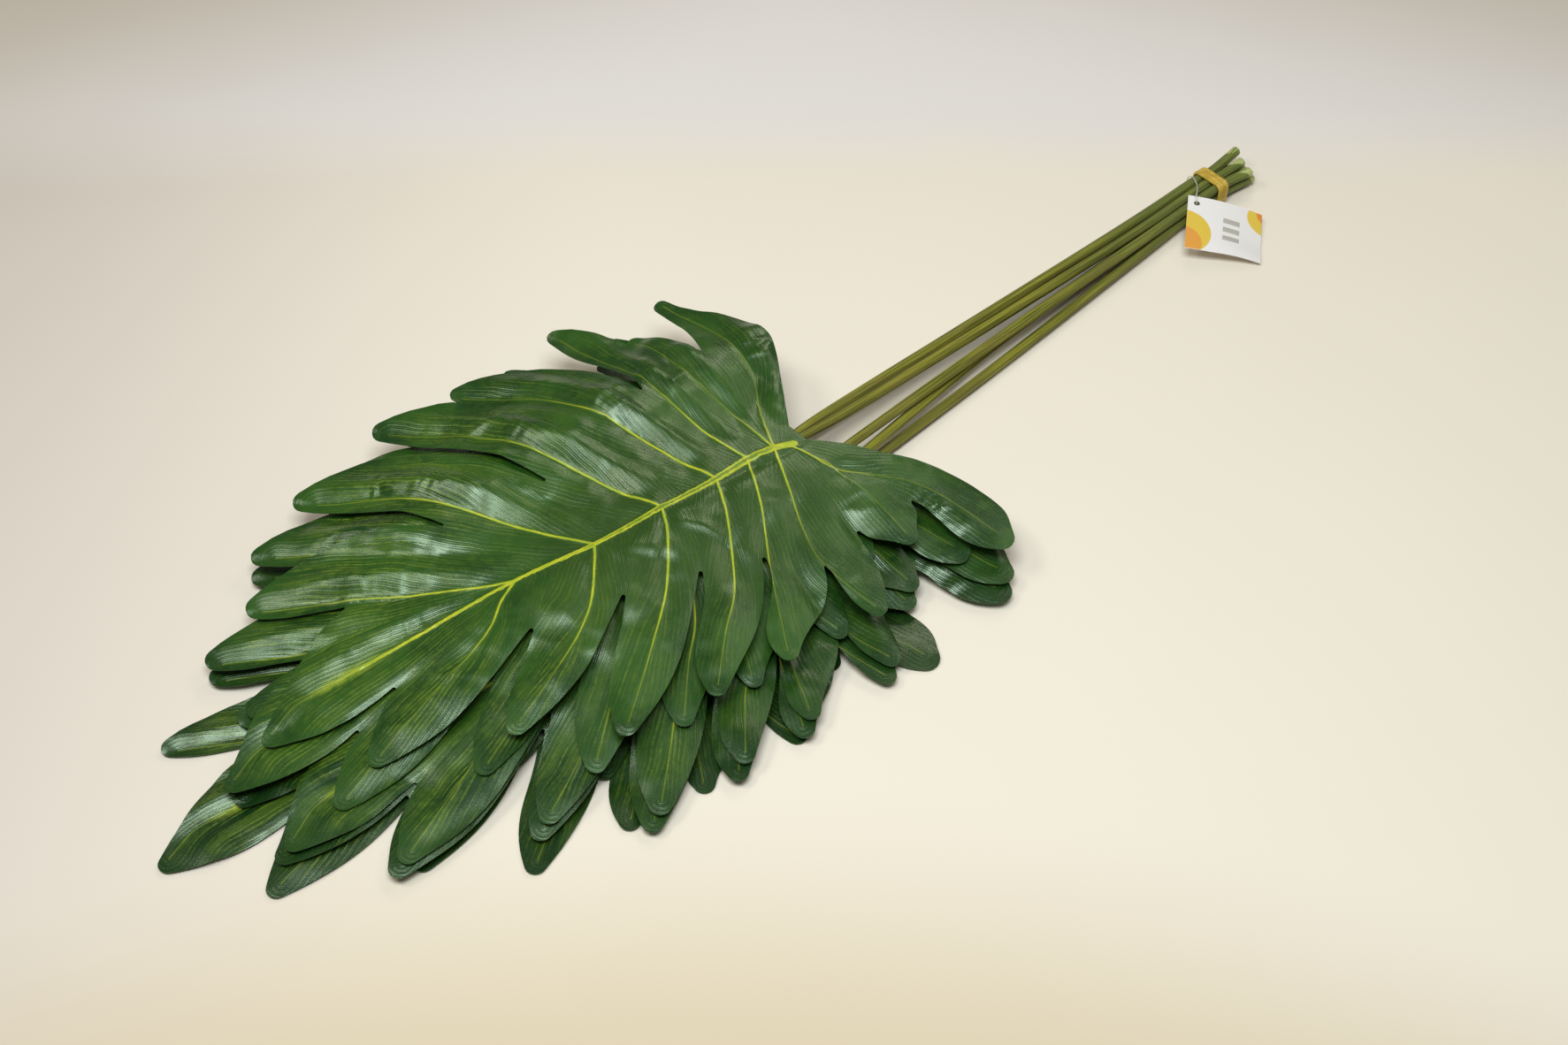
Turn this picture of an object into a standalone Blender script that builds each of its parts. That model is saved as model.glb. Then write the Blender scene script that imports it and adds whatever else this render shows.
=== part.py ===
"""A bundle of six cut philodendron leaves on long stems, held by a rubber band with a hang tag.

Lengths in the tables are in millimetres and become metres when the meshes are made.
X runs along the bundle toward the leaf tips, Z is up, and the bundle lies on the plane z = 0.
"""

import math

import bmesh
import bpy
import numpy as np
from mathutils import Vector, geometry

MM = 0.001

# Plan of one leaf: a runs along the midrib from the stem to the tip, b runs across it.
# A lobe is (tip a, tip b, heading, tip radius, taper) with the angles in degrees.
NEAR_LOBES = [
    (345, 12, 8, 6, 30),
    (304, 59, 24, 6, 28),
    (233, 88, 36, 6, 27),
    (184, 123, 50, 6, 26),
    (128, 128, 62, 6, 26),
    (81, 130, 72, 6, 26),
    (20, 131, 84, 6, 26),
    (-26, 99, 100, 7, 30),
    (-74, 129, 108, 9, 35),
]
FAR_LOBES = [
    (345, 12, 8, 6, 30),
    (314, -80, -14, 8, 32),
    (258, -135, -20, 8, 28),
    (195, -155, -26, 8, 27),
    (142, -154, -24, 6, 24),
    (65, -167, -62, 8, 20),
    (27, -130, -82, 5, 18),
    (-4, -151, -68, 5, 14),
]
# A notch between two lobes is (a, b, heading out of the leaf, opening on each side).
NEAR_NOTCHES = [
    (271, 22, 20, 9),
    (192, 37, 34, 10),
    (139, 48, 45, 9),
    (93, 56, 58, 9),
    (56, 65, 72, 9),
    (29, 88, 80, 8),
    (-3, 75, 93, 10),
    (-42, 75, 104, 10),
]
FAR_NOTCHES = [
    (269, -45, -8, 22),
    (198, -57, -46, 11),
    (133, -52, -62, 4),
    (84, -66, -69, 5),
    (51, -77, -86, 8),
    (24, -91, -88, 7),
    (3, -86, -97, 6),
]
# The edge behind the stem, from the near basal lobe round to the far one.
BACK_NEAR = [(-86, 106), (-83, 88), (-77, 72), (-63, 51), (-47, 38), (-32, 22), (-13, 6)]
BACK_FAR = [(-11, -9), (-27, -41), (-38, -64), (-42, -82), (-36, -103), (-20, -128)]
NOTCH_RADIUS = 1.2
EDGE_REACH = 0.42

# Each leaf from the bottom up: where its stem joins it (a, b of the top leaf), its turn in degrees
# and how wide its far side is beside that of the top leaf.
LEAVES = [
    (77.0, 33.0, 0.0, 0.74),
    (30.0, -16.0, 6.0, 0.9),
    (28.0, 28.0, 6.4, 1.0),
    (22.0, 21.0, 7.2, 0.97),
    (30.0, -7.0, 3.5, 0.92),
    (0.0, 0.0, 0.0, 1.0),
]
TOP_LEAF_TURN = -6.1
BLADE_THICKNESS = 1.0
BLADE_GRID = 23.0
EDGE_POINTS = 4
TIP_POINTS = 2
BACK_POINTS = 2

# Drape of the pile of leaves.
DOME_HEIGHT = 7.0
BRIDGE_HEIGHT = 12.0
EDGE_GAP = 2.8
MIDDLE_GAP = 2.0
CORE_GAP = 2.9
WAVE_SHARE = 0.16

# Stems from the cut end to the leaf: (x, y, z of the centre line, diameter).
STEM_PATHS = [
    [
        (-446, -17, 5.8, 7.0),
        (-421, -18.9, 5.45, 7.0),
        (-401, -18.9, 5.45, 7.0),
        (-330, -10.5, 5.2, 7.0),
        (-185, 5.5, 4.6, 7.0),
        (-50, 19.0, 4.4, 6.6),
        (20, 27, 4.0, 5.4),
    ],
    [
        (-440, -36, 6.0, 7.0),
        (-421, -34.1, 5.45, 7.0),
        (-401, -34.1, 5.45, 7.0),
        (-330, -32.0, 6.2, 7.0),
        (-185, -27, 8.0, 7.0),
        (-50, -23, 9.6, 6.6),
        (-10, -20.5, 9.4, 5.2),
    ],
    [
        (-449, -26.3, 6.2, 7.0),
        (-421, -26.5, 5.45, 7.0),
        (-401, -26.5, 5.45, 7.0),
        (-330, -20.0, 5.8, 7.0),
        (-185, -6.0, 9.0, 7.0),
        (-50, 18.0, 16.0, 6.6),
        (-6, 24, 17.2, 5.4),
    ],
    [
        (-441, -16, 13.8, 7.0),
        (-421, -18.9, 13.05, 7.0),
        (-401, -18.9, 13.05, 7.0),
        (-330, -13.6, 13.4, 7.0),
        (-185, -2.5, 17.2, 7.0),
        (-50, 12.0, 23.6, 6.6),
        (-8, 17, 24.6, 5.4),
    ],
    [
        (-452, -38, 14.2, 7.0),
        (-421, -34.1, 13.05, 7.0),
        (-401, -34.1, 13.05, 7.0),
        (-330, -30.4, 13.4, 7.0),
        (-185, -23.6, 18.0, 7.0),
        (-50, -12.5, 29.4, 6.6),
        (-8, -8.5, 32.0, 5.4),
    ],
    [
        (-445, -27, 14.0, 7.0),
        (-421, -26.5, 13.05, 7.0),
        (-401, -26.5, 13.05, 7.0),
        (-330, -21.8, 13.6, 7.0),
        (-185, -13.6, 20.0, 7.0),
        (-60, -1.0, 34.8, 6.6),
        (-24, 0.6, 38.0, 5.4),
    ],
]
STEM_END_DIAMETER = 4.2
STEM_UNDER_BLADE = 12.0
STEM_SIDES = 10
STEM_STEPS = 4
CUT_SLOPE = 1.2
SEAT_GAP = 0.3

# Rubber band round the stems: three turns side by side.
BAND_CENTRE = (-411.0, -26.5, 9.25)
BAND_HALF_Y = 11.55
BAND_HALF_Z = 7.75
BAND_CORNER = 3.8
BAND_TURNS = 3
BAND_TURN_WIDTH = 3.2
BAND_THICKNESS = 1.5
BAND_GROOVE = 0.6

# Hang tag: one corner on the stems, the sheet leaning down to the table.
TAG_CORNER = (-383.0, -22.5, 17.9)
TAG_ACROSS = (-36.5, 37.5, -13.4)
TAG_DOWN = (37.5, 32.0, -6.0)
TAG_WIDTH = 54.0
TAG_LENGTH = 49.0
TAG_THICKNESS = 0.6
TAG_BEND = 2.2
TAG_CURL = 3.5
TAG_HOLE = (6.5, 6.5)
TAG_HOLE_RADIUS = 2.2
TAG_ROWS = 8

# Clear plastic loop through the hole in the tag and round all the stems.
LOOP_DIAMETER = 1.0
LOOP_SIDES = 6
LOOP_STEPS = 3
LOOP_PATH = [
    (-400.5, -26.5, 0.9),
    (-400.0, -19.0, 0.9),
    (-399.0, -14.0, 3.2),
    (-396.0, -13.2, 8.0),
    (-387.6, -13.2, 12.4),
    (-382.6, -13.6, 15.7),
    (-384.6, -16.8, 19.6),
    (-390.5, -21.5, 19.8),
    (-397.0, -28.0, 18.4),
    (-400.6, -34.8, 17.7),
    (-401.6, -38.9, 14.2),
    (-401.6, -39.2, 9.0),
    (-401.2, -38.6, 3.4),
    (-400.8, -34.0, 0.9),
]

# Moves the finished bundle so that the middle of its footprint is the origin.
ORIGIN_SHIFT = (15.92, 8.9, 0.0)


def heading(degrees):
    angle = math.radians(degrees)
    return np.array([math.cos(angle), math.sin(angle)])


def bezier(start, reach_start, reach_end, end, count):
    u = np.linspace(0, 1, count + 1)[:, None]
    early = (1 - u) ** 3 * start + 3 * (1 - u) ** 2 * u * reach_start
    late = 3 * (1 - u) * u**2 * reach_end + u**3 * end
    return early + late


def arc(centre, radius, first, last, count):
    angles = np.radians(np.linspace(first, last, count + 1))
    return centre + radius * np.stack([np.cos(angles), np.sin(angles)], -1)


def smooth_curve(points, count):
    """A smooth open curve through the points."""
    points = np.array(points, float)
    first = 2 * points[:1] - points[1:2]
    last = 2 * points[-1:] - points[-2:-1]
    padded = np.concatenate([first, points, last])
    parts = []
    for k in range(len(points) - 1):
        before, start, end, after = padded[k : k + 4]
        part = bezier(start, start + (end - before) / 6, end - (after - start) / 6, end, count)
        parts.append(part[:-1])
    return np.concatenate(parts + [points[-1:]])


def side_outline(lobes, notches, side):
    """The edge on one side of the midrib, from the leaf's tip to the tip of the basal lobe."""
    parts = []
    for k, (tip_a, tip_b, head, radius, taper) in enumerate(lobes):
        centre = np.array([tip_a, tip_b], float) - radius * heading(head)
        fore_angle = head - side * (90 - taper)
        aft_angle = head + side * (90 - taper)
        fore = centre + radius * heading(fore_angle)
        aft = centre + radius * heading(aft_angle)
        if k:
            a, b, out, opening = notches[k - 1]
            start = np.array([a, b], float) + NOTCH_RADIUS * heading(out + side * 90)
            reach = EDGE_REACH * np.linalg.norm(fore - start)
            leave = start + reach * heading(out + side * opening)
            arrive = fore - reach * heading(head + side * taper)
            parts.append(bezier(start, leave, arrive, fore, EDGE_POINTS)[:-1])
            parts.append(arc(centre, radius, fore_angle, aft_angle, TIP_POINTS))
        else:
            parts.append(arc(centre, radius, head, aft_angle, 1))
        if k < len(notches):
            a, b, out, opening = notches[k]
            notch = np.array([a, b], float)
            end = notch - NOTCH_RADIUS * heading(out + side * 90)
            reach = EDGE_REACH * np.linalg.norm(end - aft)
            leave = aft - reach * heading(head - side * taper)
            arrive = end + reach * heading(out - side * opening)
            parts.append(bezier(aft, leave, arrive, end, EDGE_POINTS)[1:])
            parts.append(notch[None] - NOTCH_RADIUS * heading(out)[None])
    return np.concatenate(parts)


def leaf_outline():
    near = side_outline(NEAR_LOBES, NEAR_NOTCHES, 1)
    far = side_outline(FAR_LOBES, FAR_NOTCHES, -1)
    back_near = smooth_curve([near[-1]] + BACK_NEAR, BACK_POINTS)[1:]
    back_far = smooth_curve(BACK_FAR + [far[-1]], BACK_POINTS)[:-1]
    return np.concatenate([near, back_near, back_far, far[::-1][:-1]])


def smoothstep(low, high, x):
    u = np.clip((x - low) / (high - low), 0, 1)
    return u * u * (3 - 2 * u)


def floor_height(layer, s, t):
    """Height of the lowest leaf, and for the leaves above it also their rise along the far side."""
    dome = DOME_HEIGHT * np.exp(-(((t - 28) / 72) ** 2) - ((s - 120) / 190) ** 2)
    along = (1 - smoothstep(190, 310, s)) * smoothstep(-150, -40, s)
    bridge = BRIDGE_HEIGHT * np.exp(-(((t + 80) / 40) ** 2)) * along
    return dome + min(layer, 1) * bridge


def layer_gap(s, t):
    """Rise from one leaf to the next."""
    across = np.where(t > 0, np.exp(-((t / 72) ** 2)), np.exp(-((t / 400) ** 2)))
    edge = EDGE_GAP + MIDDLE_GAP * (1 - smoothstep(180, 330, s))
    toward_tip = (1 - 0.75 * smoothstep(60, 240, s)) * (1 - smoothstep(200, 330, s))
    return edge + CORE_GAP * across * toward_tip * smoothstep(-160, -40, s)


def under_height(layer, s, t):
    """Height of the underside of one leaf of the pile."""
    phase = 2.4 * layer
    away = 1 - np.exp(-(((s - 20) / 60) ** 2) - (t / 45) ** 2)
    wave = np.sin(s / 31 + phase) * np.cos(t / 37 + 1.7 * phase) * away
    return floor_height(layer, s, t) + layer_gap(s, t) * (layer + WAVE_SHARE * min(layer, 1) * wave)


def to_bundle(s, t, z):
    """Plan place on the pile to bundle axes."""
    c = math.cos(math.radians(TOP_LEAF_TURN))
    n = math.sin(math.radians(TOP_LEAF_TURN))
    return np.stack([s * c - t * n, s * n + t * c, z], -1)


def leaf_to_pile(layer, plan):
    base_s, base_t, turn, far_width = LEAVES[layer]
    c = math.cos(math.radians(turn))
    n = math.sin(math.radians(turn))
    b = np.where(plan[:, 1] < 0, far_width, 1.0) * plan[:, 1]
    s = base_s + plan[:, 0] * c - b * n
    t = base_t + plan[:, 0] * n + b * c
    return s, t


def inside(points, outline):
    """Which points lie in the outline, by counting crossings."""
    start = outline
    end = np.roll(outline, -1, 0)
    x = points[:, 0:1]
    y = points[:, 1:2]
    spans = (start[:, 1] > y) != (end[:, 1] > y)
    rise = np.where(end[:, 1] == start[:, 1], 1.0, end[:, 1] - start[:, 1])
    cross = start[:, 0] + (y - start[:, 1]) * (end[:, 0] - start[:, 0]) / rise
    return (np.sum(spans & (x < cross), 1) % 2) == 1


def distance_to_edge(points, outline):
    start = outline
    span = np.roll(outline, -1, 0) - outline
    rel = points[:, None, :] - start[None]
    u = np.clip(np.sum(rel * span, -1) / np.sum(span * span, -1), 0, 1)
    return np.min(np.linalg.norm(rel - u[..., None] * span, axis=-1), 1)


def plan_triangles():
    """Plan points and triangles of one leaf."""
    outline = leaf_outline()
    count = len(outline)
    low = outline.min(0)
    high = outline.max(0)
    rows = []
    row_step = BLADE_GRID * math.sqrt(3) / 2
    for k, b in enumerate(np.arange(low[1], high[1], row_step)):
        a = np.arange(low[0] + (k % 2) * BLADE_GRID / 2, high[0], BLADE_GRID)
        rows.append(np.stack([a, np.full(len(a), b)], -1))
    grid = np.concatenate(rows)
    grid = grid[inside(grid, outline)]
    grid = grid[distance_to_edge(grid, outline) > 0.42 * BLADE_GRID]
    points = [Vector(p) for p in np.concatenate([outline, grid])]
    edges = [(k, (k + 1) % count) for k in range(count)]
    result = geometry.delaunay_2d_cdt(points, edges, [], 1, 1e-5)
    verts = np.array([tuple(v) for v in result[0]])
    return verts, [tuple(f) for f in result[2]], count


def make_object(name, verts, faces, colour, roughness, transmission=0.0):
    mesh = bpy.data.meshes.new(name)
    shifted = (np.asarray(verts, float) + np.array(ORIGIN_SHIFT)) * MM
    mesh.from_pydata([tuple(v) for v in shifted], [], faces)
    work = bmesh.new()
    work.from_mesh(mesh)
    bmesh.ops.triangulate(work, faces=work.faces[:])
    bmesh.ops.recalc_face_normals(work, faces=work.faces[:])
    if work.calc_volume(signed=True) < 0:
        bmesh.ops.reverse_faces(work, faces=work.faces[:])
    work.to_mesh(mesh)
    work.free()
    material = bpy.data.materials.new(name)
    material.use_nodes = True
    shader = material.node_tree.nodes["Principled BSDF"]
    shader.inputs["Base Color"].default_value = (*colour, 1.0)
    shader.inputs["Roughness"].default_value = roughness
    shader.inputs["Transmission Weight"].default_value = transmission
    mesh.materials.append(material)
    item = bpy.data.objects.new(name, mesh)
    bpy.context.scene.collection.objects.link(item)
    return item


def closed_sheet(under, top, triangles):
    """Faces of a sheet with the same triangles on both sides and a rim of quads."""
    count = len(under)
    faces = [tuple(reversed(f)) for f in triangles]
    faces += [tuple(i + count for i in f) for f in triangles]
    used = set()
    for f in triangles:
        for k in range(len(f)):
            used.add((f[k], f[(k + 1) % len(f)]))
    for i, j in used:
        if (j, i) not in used:
            faces.append((i, j, j + count, i + count))
    return np.concatenate([under, top]), faces


def make_blade(layer, plan, triangles):
    s, t = leaf_to_pile(layer, plan)
    z = under_height(layer, s, t)
    under = to_bundle(s, t, z)
    top = to_bundle(s, t, z + BLADE_THICKNESS)
    verts, faces = closed_sheet(under, top, triangles)
    make_object("blade_%d" % (layer + 1), verts, faces, (0.03, 0.13, 0.04), 0.4)


def tube(path, radii, sides, closed, cut=0.0):
    """A round tube along a path; cut slopes its first end."""
    path = np.asarray(path, float)
    count = len(path)
    if closed:
        tangents = np.roll(path, -1, 0) - np.roll(path, 1, 0)
    else:
        tangents = np.gradient(path, axis=0)
    tangents /= np.linalg.norm(tangents, axis=1)[:, None]
    if closed:
        middle = path.mean(0)
        outward = path - middle
    else:
        outward = np.tile(np.array([0.0, 0.0, 1.0]), (count, 1))
    side = np.cross(tangents, outward)
    side /= np.linalg.norm(side, axis=1)[:, None]
    outward = np.cross(side, tangents)
    angles = np.arange(sides) * 2 * math.pi / sides + math.pi / sides
    verts = []
    for k in range(count):
        ring = np.cos(angles)[:, None] * outward[k] + np.sin(angles)[:, None] * side[k]
        ring = path[k] + radii[k] * ring
        if k == 0 and cut:
            ring = ring + np.outer(cut * radii[k] * np.cos(angles), tangents[k])
        verts.append(ring)
    faces = []
    last = count if closed else count - 1
    for k in range(last):
        n = (k + 1) % count
        for j in range(sides):
            m = (j + 1) % sides
            faces.append((k * sides + j, k * sides + m, n * sides + m, n * sides + j))
    if not closed:
        faces.append(tuple(range(sides - 1, -1, -1)))
        faces.append(tuple(range((count - 1) * sides, count * sides)))
    return np.concatenate(verts), faces


def stem_path(layer):
    """Centre line and diameters of one stem, ending under the foot of its blade."""
    ends = []
    for reach in (-2.0, STEM_UNDER_BLADE):
        plan = np.array([[reach, 0.0]])
        s, t = leaf_to_pile(layer, plan)
        z = under_height(layer, s, t) - SEAT_GAP - STEM_END_DIAMETER / 2 - 0.4
        ends.append((*to_bundle(s, t, z)[0], STEM_END_DIAMETER))
    return smooth_curve(STEM_PATHS[layer] + ends, STEM_STEPS)


def make_stem(layer):
    line = stem_path(layer)
    verts, faces = tube(line[:, :3], line[:, 3] / 2, STEM_SIDES, False, CUT_SLOPE)
    make_object("stem_%d" % (layer + 1), verts, faces, (0.13, 0.19, 0.05), 0.5)


def rounded_box(half_y, half_z, corner, count):
    """Outline of a box with round corners, in y and z."""
    parts = []
    for k, (sy, sz) in enumerate([(1, 1), (-1, 1), (-1, -1), (1, -1)]):
        centre = np.array([sy * (half_y - corner), sz * (half_z - corner)])
        parts.append(arc(centre, corner, 90 * k, 90 * k + 90, count))
    return np.concatenate(parts)


def make_band():
    cx, cy, cz = BAND_CENTRE
    width = BAND_TURNS * BAND_TURN_WIDTH
    stations = [(-width / 2, BAND_THICKNESS - BAND_GROOVE)]
    for k in range(BAND_TURNS):
        left = -width / 2 + k * BAND_TURN_WIDTH
        stations.append((left + 0.22 * BAND_TURN_WIDTH, BAND_THICKNESS))
        stations.append((left + 0.78 * BAND_TURN_WIDTH, BAND_THICKNESS))
        stations.append((left + BAND_TURN_WIDTH, BAND_THICKNESS - BAND_GROOVE))
    profile = stations + [(width / 2, 0.0), (-width / 2, 0.0)]
    rings = []
    for x, lift in profile:
        ring = rounded_box(BAND_HALF_Y + lift, BAND_HALF_Z + lift, BAND_CORNER + lift, 3)
        rings.append(np.stack([np.full(len(ring), x + cx), ring[:, 0] + cy, ring[:, 1] + cz], -1))
    sides = len(rings[0])
    faces = []
    for k in range(len(rings)):
        n = (k + 1) % len(rings)
        for j in range(sides):
            m = (j + 1) % sides
            faces.append((k * sides + j, k * sides + m, n * sides + m, n * sides + j))
    make_object("rubber_band", np.concatenate(rings), faces, (0.55, 0.36, 0.06), 0.5)


def tag_surface(u, v):
    """A point of the tag's underside; u runs across it and v down it, both in mm."""
    across = np.array(TAG_ACROSS) / np.linalg.norm(TAG_ACROSS)
    down = np.array(TAG_DOWN) / np.linalg.norm(TAG_DOWN)
    point = np.array(TAG_CORNER) + np.outer(u, across) + np.outer(v, down)
    bend = TAG_BEND * np.sin(math.pi * u / TAG_WIDTH)
    curl = TAG_CURL * smoothstep(0.55, 1.0, v / TAG_LENGTH) * smoothstep(0.2, 1.0, u / TAG_WIDTH)
    point[:, 2] += bend + curl
    return point


def make_tag():
    hole = arc(np.array(TAG_HOLE), TAG_HOLE_RADIUS, 0, 360, 10)[:-1]
    rim = []
    for k in range(TAG_ROWS):
        rim.append((TAG_WIDTH * k / TAG_ROWS, 0.0))
    for k in range(TAG_ROWS):
        rim.append((TAG_WIDTH, TAG_LENGTH * k / TAG_ROWS))
    for k in range(TAG_ROWS):
        rim.append((TAG_WIDTH * (1 - k / TAG_ROWS), TAG_LENGTH))
    for k in range(TAG_ROWS):
        rim.append((0.0, TAG_LENGTH * (1 - k / TAG_ROWS)))
    inner = []
    for i in range(1, TAG_ROWS):
        for j in range(1, TAG_ROWS):
            p = (TAG_WIDTH * i / TAG_ROWS, TAG_LENGTH * j / TAG_ROWS)
            if math.dist(p, TAG_HOLE) > TAG_HOLE_RADIUS + 2:
                inner.append(p)
    points = [Vector(p) for p in rim + inner] + [Vector(p) for p in hole]
    first = len(rim) + len(inner)
    edges = [(k, (k + 1) % len(rim)) for k in range(len(rim))]
    edges += [(first + k, first + (k + 1) % len(hole)) for k in range(len(hole))]
    result = geometry.delaunay_2d_cdt(points, edges, [], 0, 1e-5)
    flat = np.array([tuple(v) for v in result[0]])
    keep = []
    for face in result[2]:
        middle = flat[list(face)].mean(0)
        if math.dist(middle, TAG_HOLE) > 0.9 * TAG_HOLE_RADIUS:
            keep.append(tuple(face))
    under = tag_surface(flat[:, 0], flat[:, 1])
    top = under + np.array([0, 0, TAG_THICKNESS * 1.06])
    verts, faces = closed_sheet(under, top, keep)
    make_object("hang_tag", verts, faces, (0.85, 0.84, 0.8), 0.5)


def make_loop():
    path = np.array(LOOP_PATH + LOOP_PATH[:1], float)
    count = len(LOOP_PATH)
    parts = []
    for k in range(count):
        before = path[(k - 1) % count]
        start = path[k]
        end = path[k + 1]
        after = path[(k + 2) % count]
        part = bezier(start, start + (end - before) / 6, end - (after - start) / 6, end, LOOP_STEPS)
        parts.append(part[:-1])
    line = np.concatenate(parts)
    radii = np.full(len(line), LOOP_DIAMETER / 2)
    verts, faces = tube(line, radii, LOOP_SIDES, True)
    make_object("tag_loop", verts, faces, (0.8, 0.8, 0.75), 0.2, 0.6)


def main():
    for item in list(bpy.data.objects):
        bpy.data.objects.remove(item, do_unlink=True)
    plan, triangles, count = plan_triangles()
    for layer in range(len(LEAVES)):
        make_blade(layer, plan, triangles)
        make_stem(layer)
    make_band()
    make_tag()
    make_loop()


main()
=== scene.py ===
"""Looks of the philodendron bundle: finer leaves, stems, band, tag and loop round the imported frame.

Plan lengths are millimetres in the pile's own axes, as in the part, and become metres in the meshes.
"""

import math

import bpy
import numpy as np
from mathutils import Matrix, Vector, geometry


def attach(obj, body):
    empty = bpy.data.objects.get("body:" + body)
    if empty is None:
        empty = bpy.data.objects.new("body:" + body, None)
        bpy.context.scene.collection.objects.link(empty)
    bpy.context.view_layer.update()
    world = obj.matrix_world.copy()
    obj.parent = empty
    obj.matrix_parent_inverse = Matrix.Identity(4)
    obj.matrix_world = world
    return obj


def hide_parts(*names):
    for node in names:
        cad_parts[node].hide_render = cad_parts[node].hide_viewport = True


MM = 0.001
ORIGIN_SHIFT = np.array([15.92, 8.9, 0.0])
CHUNK = 4000
FAR_AWAY = 1e9

# Camera: the photograph's place and lens, in the row frame.
CAMERA_PLACE = (0.5857, 0.6895, 0.9415)
CAMERA_FORWARD = (-0.4343, -0.5175, -0.7373)
CAMERA_LENS = 48.73
CAMERA_SENSOR = 36.0

# Plan of one leaf: lobes (tip a, tip b, heading, tip radius, taper) and notches
# (a, b, heading, opening), with a along the midrib and b across it.
NEAR_LOBES = [
    (345, 12, 8, 6, 30),
    (304, 59, 24, 6, 28),
    (233, 88, 36, 6, 27),
    (184, 123, 50, 6, 26),
    (128, 128, 62, 6, 26),
    (81, 130, 72, 6, 26),
    (20, 131, 84, 6, 26),
    (-26, 99, 100, 7, 30),
    (-74, 129, 108, 9, 35),
]
FAR_LOBES = [
    (345, 12, 8, 6, 30),
    (314, -80, -14, 8, 32),
    (258, -135, -20, 8, 28),
    (195, -155, -26, 8, 27),
    (142, -154, -24, 6, 24),
    (65, -167, -62, 8, 20),
    (27, -130, -82, 5, 18),
    (-4, -151, -68, 5, 14),
]
NEAR_NOTCHES = [
    (271, 22, 20, 9),
    (192, 37, 34, 10),
    (139, 48, 45, 9),
    (93, 56, 58, 9),
    (56, 65, 72, 9),
    (29, 88, 80, 8),
    (-3, 75, 93, 10),
    (-42, 75, 104, 10),
]
FAR_NOTCHES = [
    (269, -45, -8, 22),
    (198, -57, -46, 11),
    (133, -52, -62, 4),
    (84, -66, -69, 5),
    (51, -77, -86, 8),
    (24, -91, -88, 7),
    (3, -86, -97, 6),
]
BACK_NEAR = [(-86, 106), (-83, 88), (-77, 72), (-63, 51), (-47, 38), (-32, 22), (-13, 6)]
BACK_FAR = [(-11, -9), (-27, -41), (-38, -64), (-42, -82), (-36, -103), (-20, -128)]
NOTCH_RADIUS = 1.2
EDGE_REACH = 0.42
EDGE_POINTS = 16
TIP_POINTS = 6
BACK_POINTS = 6

# Each leaf from the bottom up: where its stem joins it, its turn and the width of its far side.
LEAVES = [
    (77.0, 33.0, 0.0, 0.74),
    (30.0, -16.0, 6.0, 0.9),
    (28.0, 28.0, 6.4, 1.0),
    (22.0, 21.0, 7.2, 0.97),
    (30.0, -7.0, 3.5, 0.92),
    (0.0, 0.0, 0.0, 1.0),
]
TOP_LAYER = len(LEAVES) - 1
TOP_LEAF_TURN = -6.1
BLADE_THICKNESS = 0.35

# Drape of the pile, as in the part.
DOME_HEIGHT = 7.0
BRIDGE_HEIGHT = 12.0
EDGE_GAP = 2.8
MIDDLE_GAP = 2.0
CORE_GAP = 2.9
WAVE_SHARE = 0.16

# Midrib, then the side veins: points, strength, and the share of its length that a vein shows on.
MIDRIB = [
    (-5, 5), (7, 2), (25, 1), (49, 4), (87, 5), (132, 5),
    (182, 0), (227, -1), (266, -2), (314, -2), (338, 8),
]
SIDE_VEINS = [
    ([(182, 0), (227, -1), (266, -2), (314, -2), (338, 8)], 1.0, 0.2),
    ([(182, 0), (196, 9), (213, 23), (250, 38), (296, 56)], 0.9, 0.6),
    ([(132, 4), (140, 18), (159, 44), (190, 66), (226, 84)], 0.8, 0.8),
    ([(87, 5), (96, 26), (117, 57), (147, 88), (178, 117)], 0.8, 0.9),
    ([(49, 4), (60, 33), (82, 74), (103, 97), (124, 122)], 0.75, 0.9),
    ([(25, 1), (39, 37), (57, 73), (68, 98), (79, 123)], 0.6, 0.8),
    ([(7, 2), (18, 36), (29, 76), (26, 102), (20, 124)], 0.75, 0.6),
    ([(-2, 4), (-9, 20), (-15, 33), (-21, 60), (-25, 91)], 0.5, 0.55),
    ([(-2, 4), (-9, 20), (-16, 34), (-52, 68), (-72, 118)], 0.5, 0.5),
    ([(182, 0), (204, -10), (234, -28), (270, -52), (306, -74)], 0.9, 0.9),
    ([(132, 5), (146, -12), (166, -40), (200, -84), (246, -126)], 1.0, 0.95),
    ([(87, 5), (100, -20), (124, -70), (150, -112), (186, -148)], 1.0, 0.8),
    ([(49, 4), (60, -22), (82, -74), (104, -117), (136, -148)], 1.0, 0.8),
    ([(25, 1), (33, -26), (42, -68), (50, -110), (62, -158)], 0.9, 0.6),
    ([(7, 2), (10, -22), (16, -56), (22, -92), (27, -124)], 0.9, 0.4),
    ([(7, 2), (-2, -26), (-17, -62), (-16, -104), (-7, -146)], 0.9, 0.35),
]
FIRST_FAR_VEIN = 9
LAST_TIP_VEIN = 10
LAST_STRONG_VEIN = 12
VEIN_BORDER = 1.3

# Relief of the cloth: valleys at the veins, crests beyond the far ones, roofs on the near lobes.
FAR_VALLEY = 3.0
FAR_CREST = 2.8
TIP_VALLEY = 2.2
TIP_CREST = 2.0
NEAR_VALLEY = 1.8
NEAR_ROOF = 4.2
RIB_VALLEY = 2.4
LOWER_SAG = 2.3
LOWER_SAG_STEP = 1.4
CREASE_LIFT = 0.8
CREASE_SOFTNESS = 0.3
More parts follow.
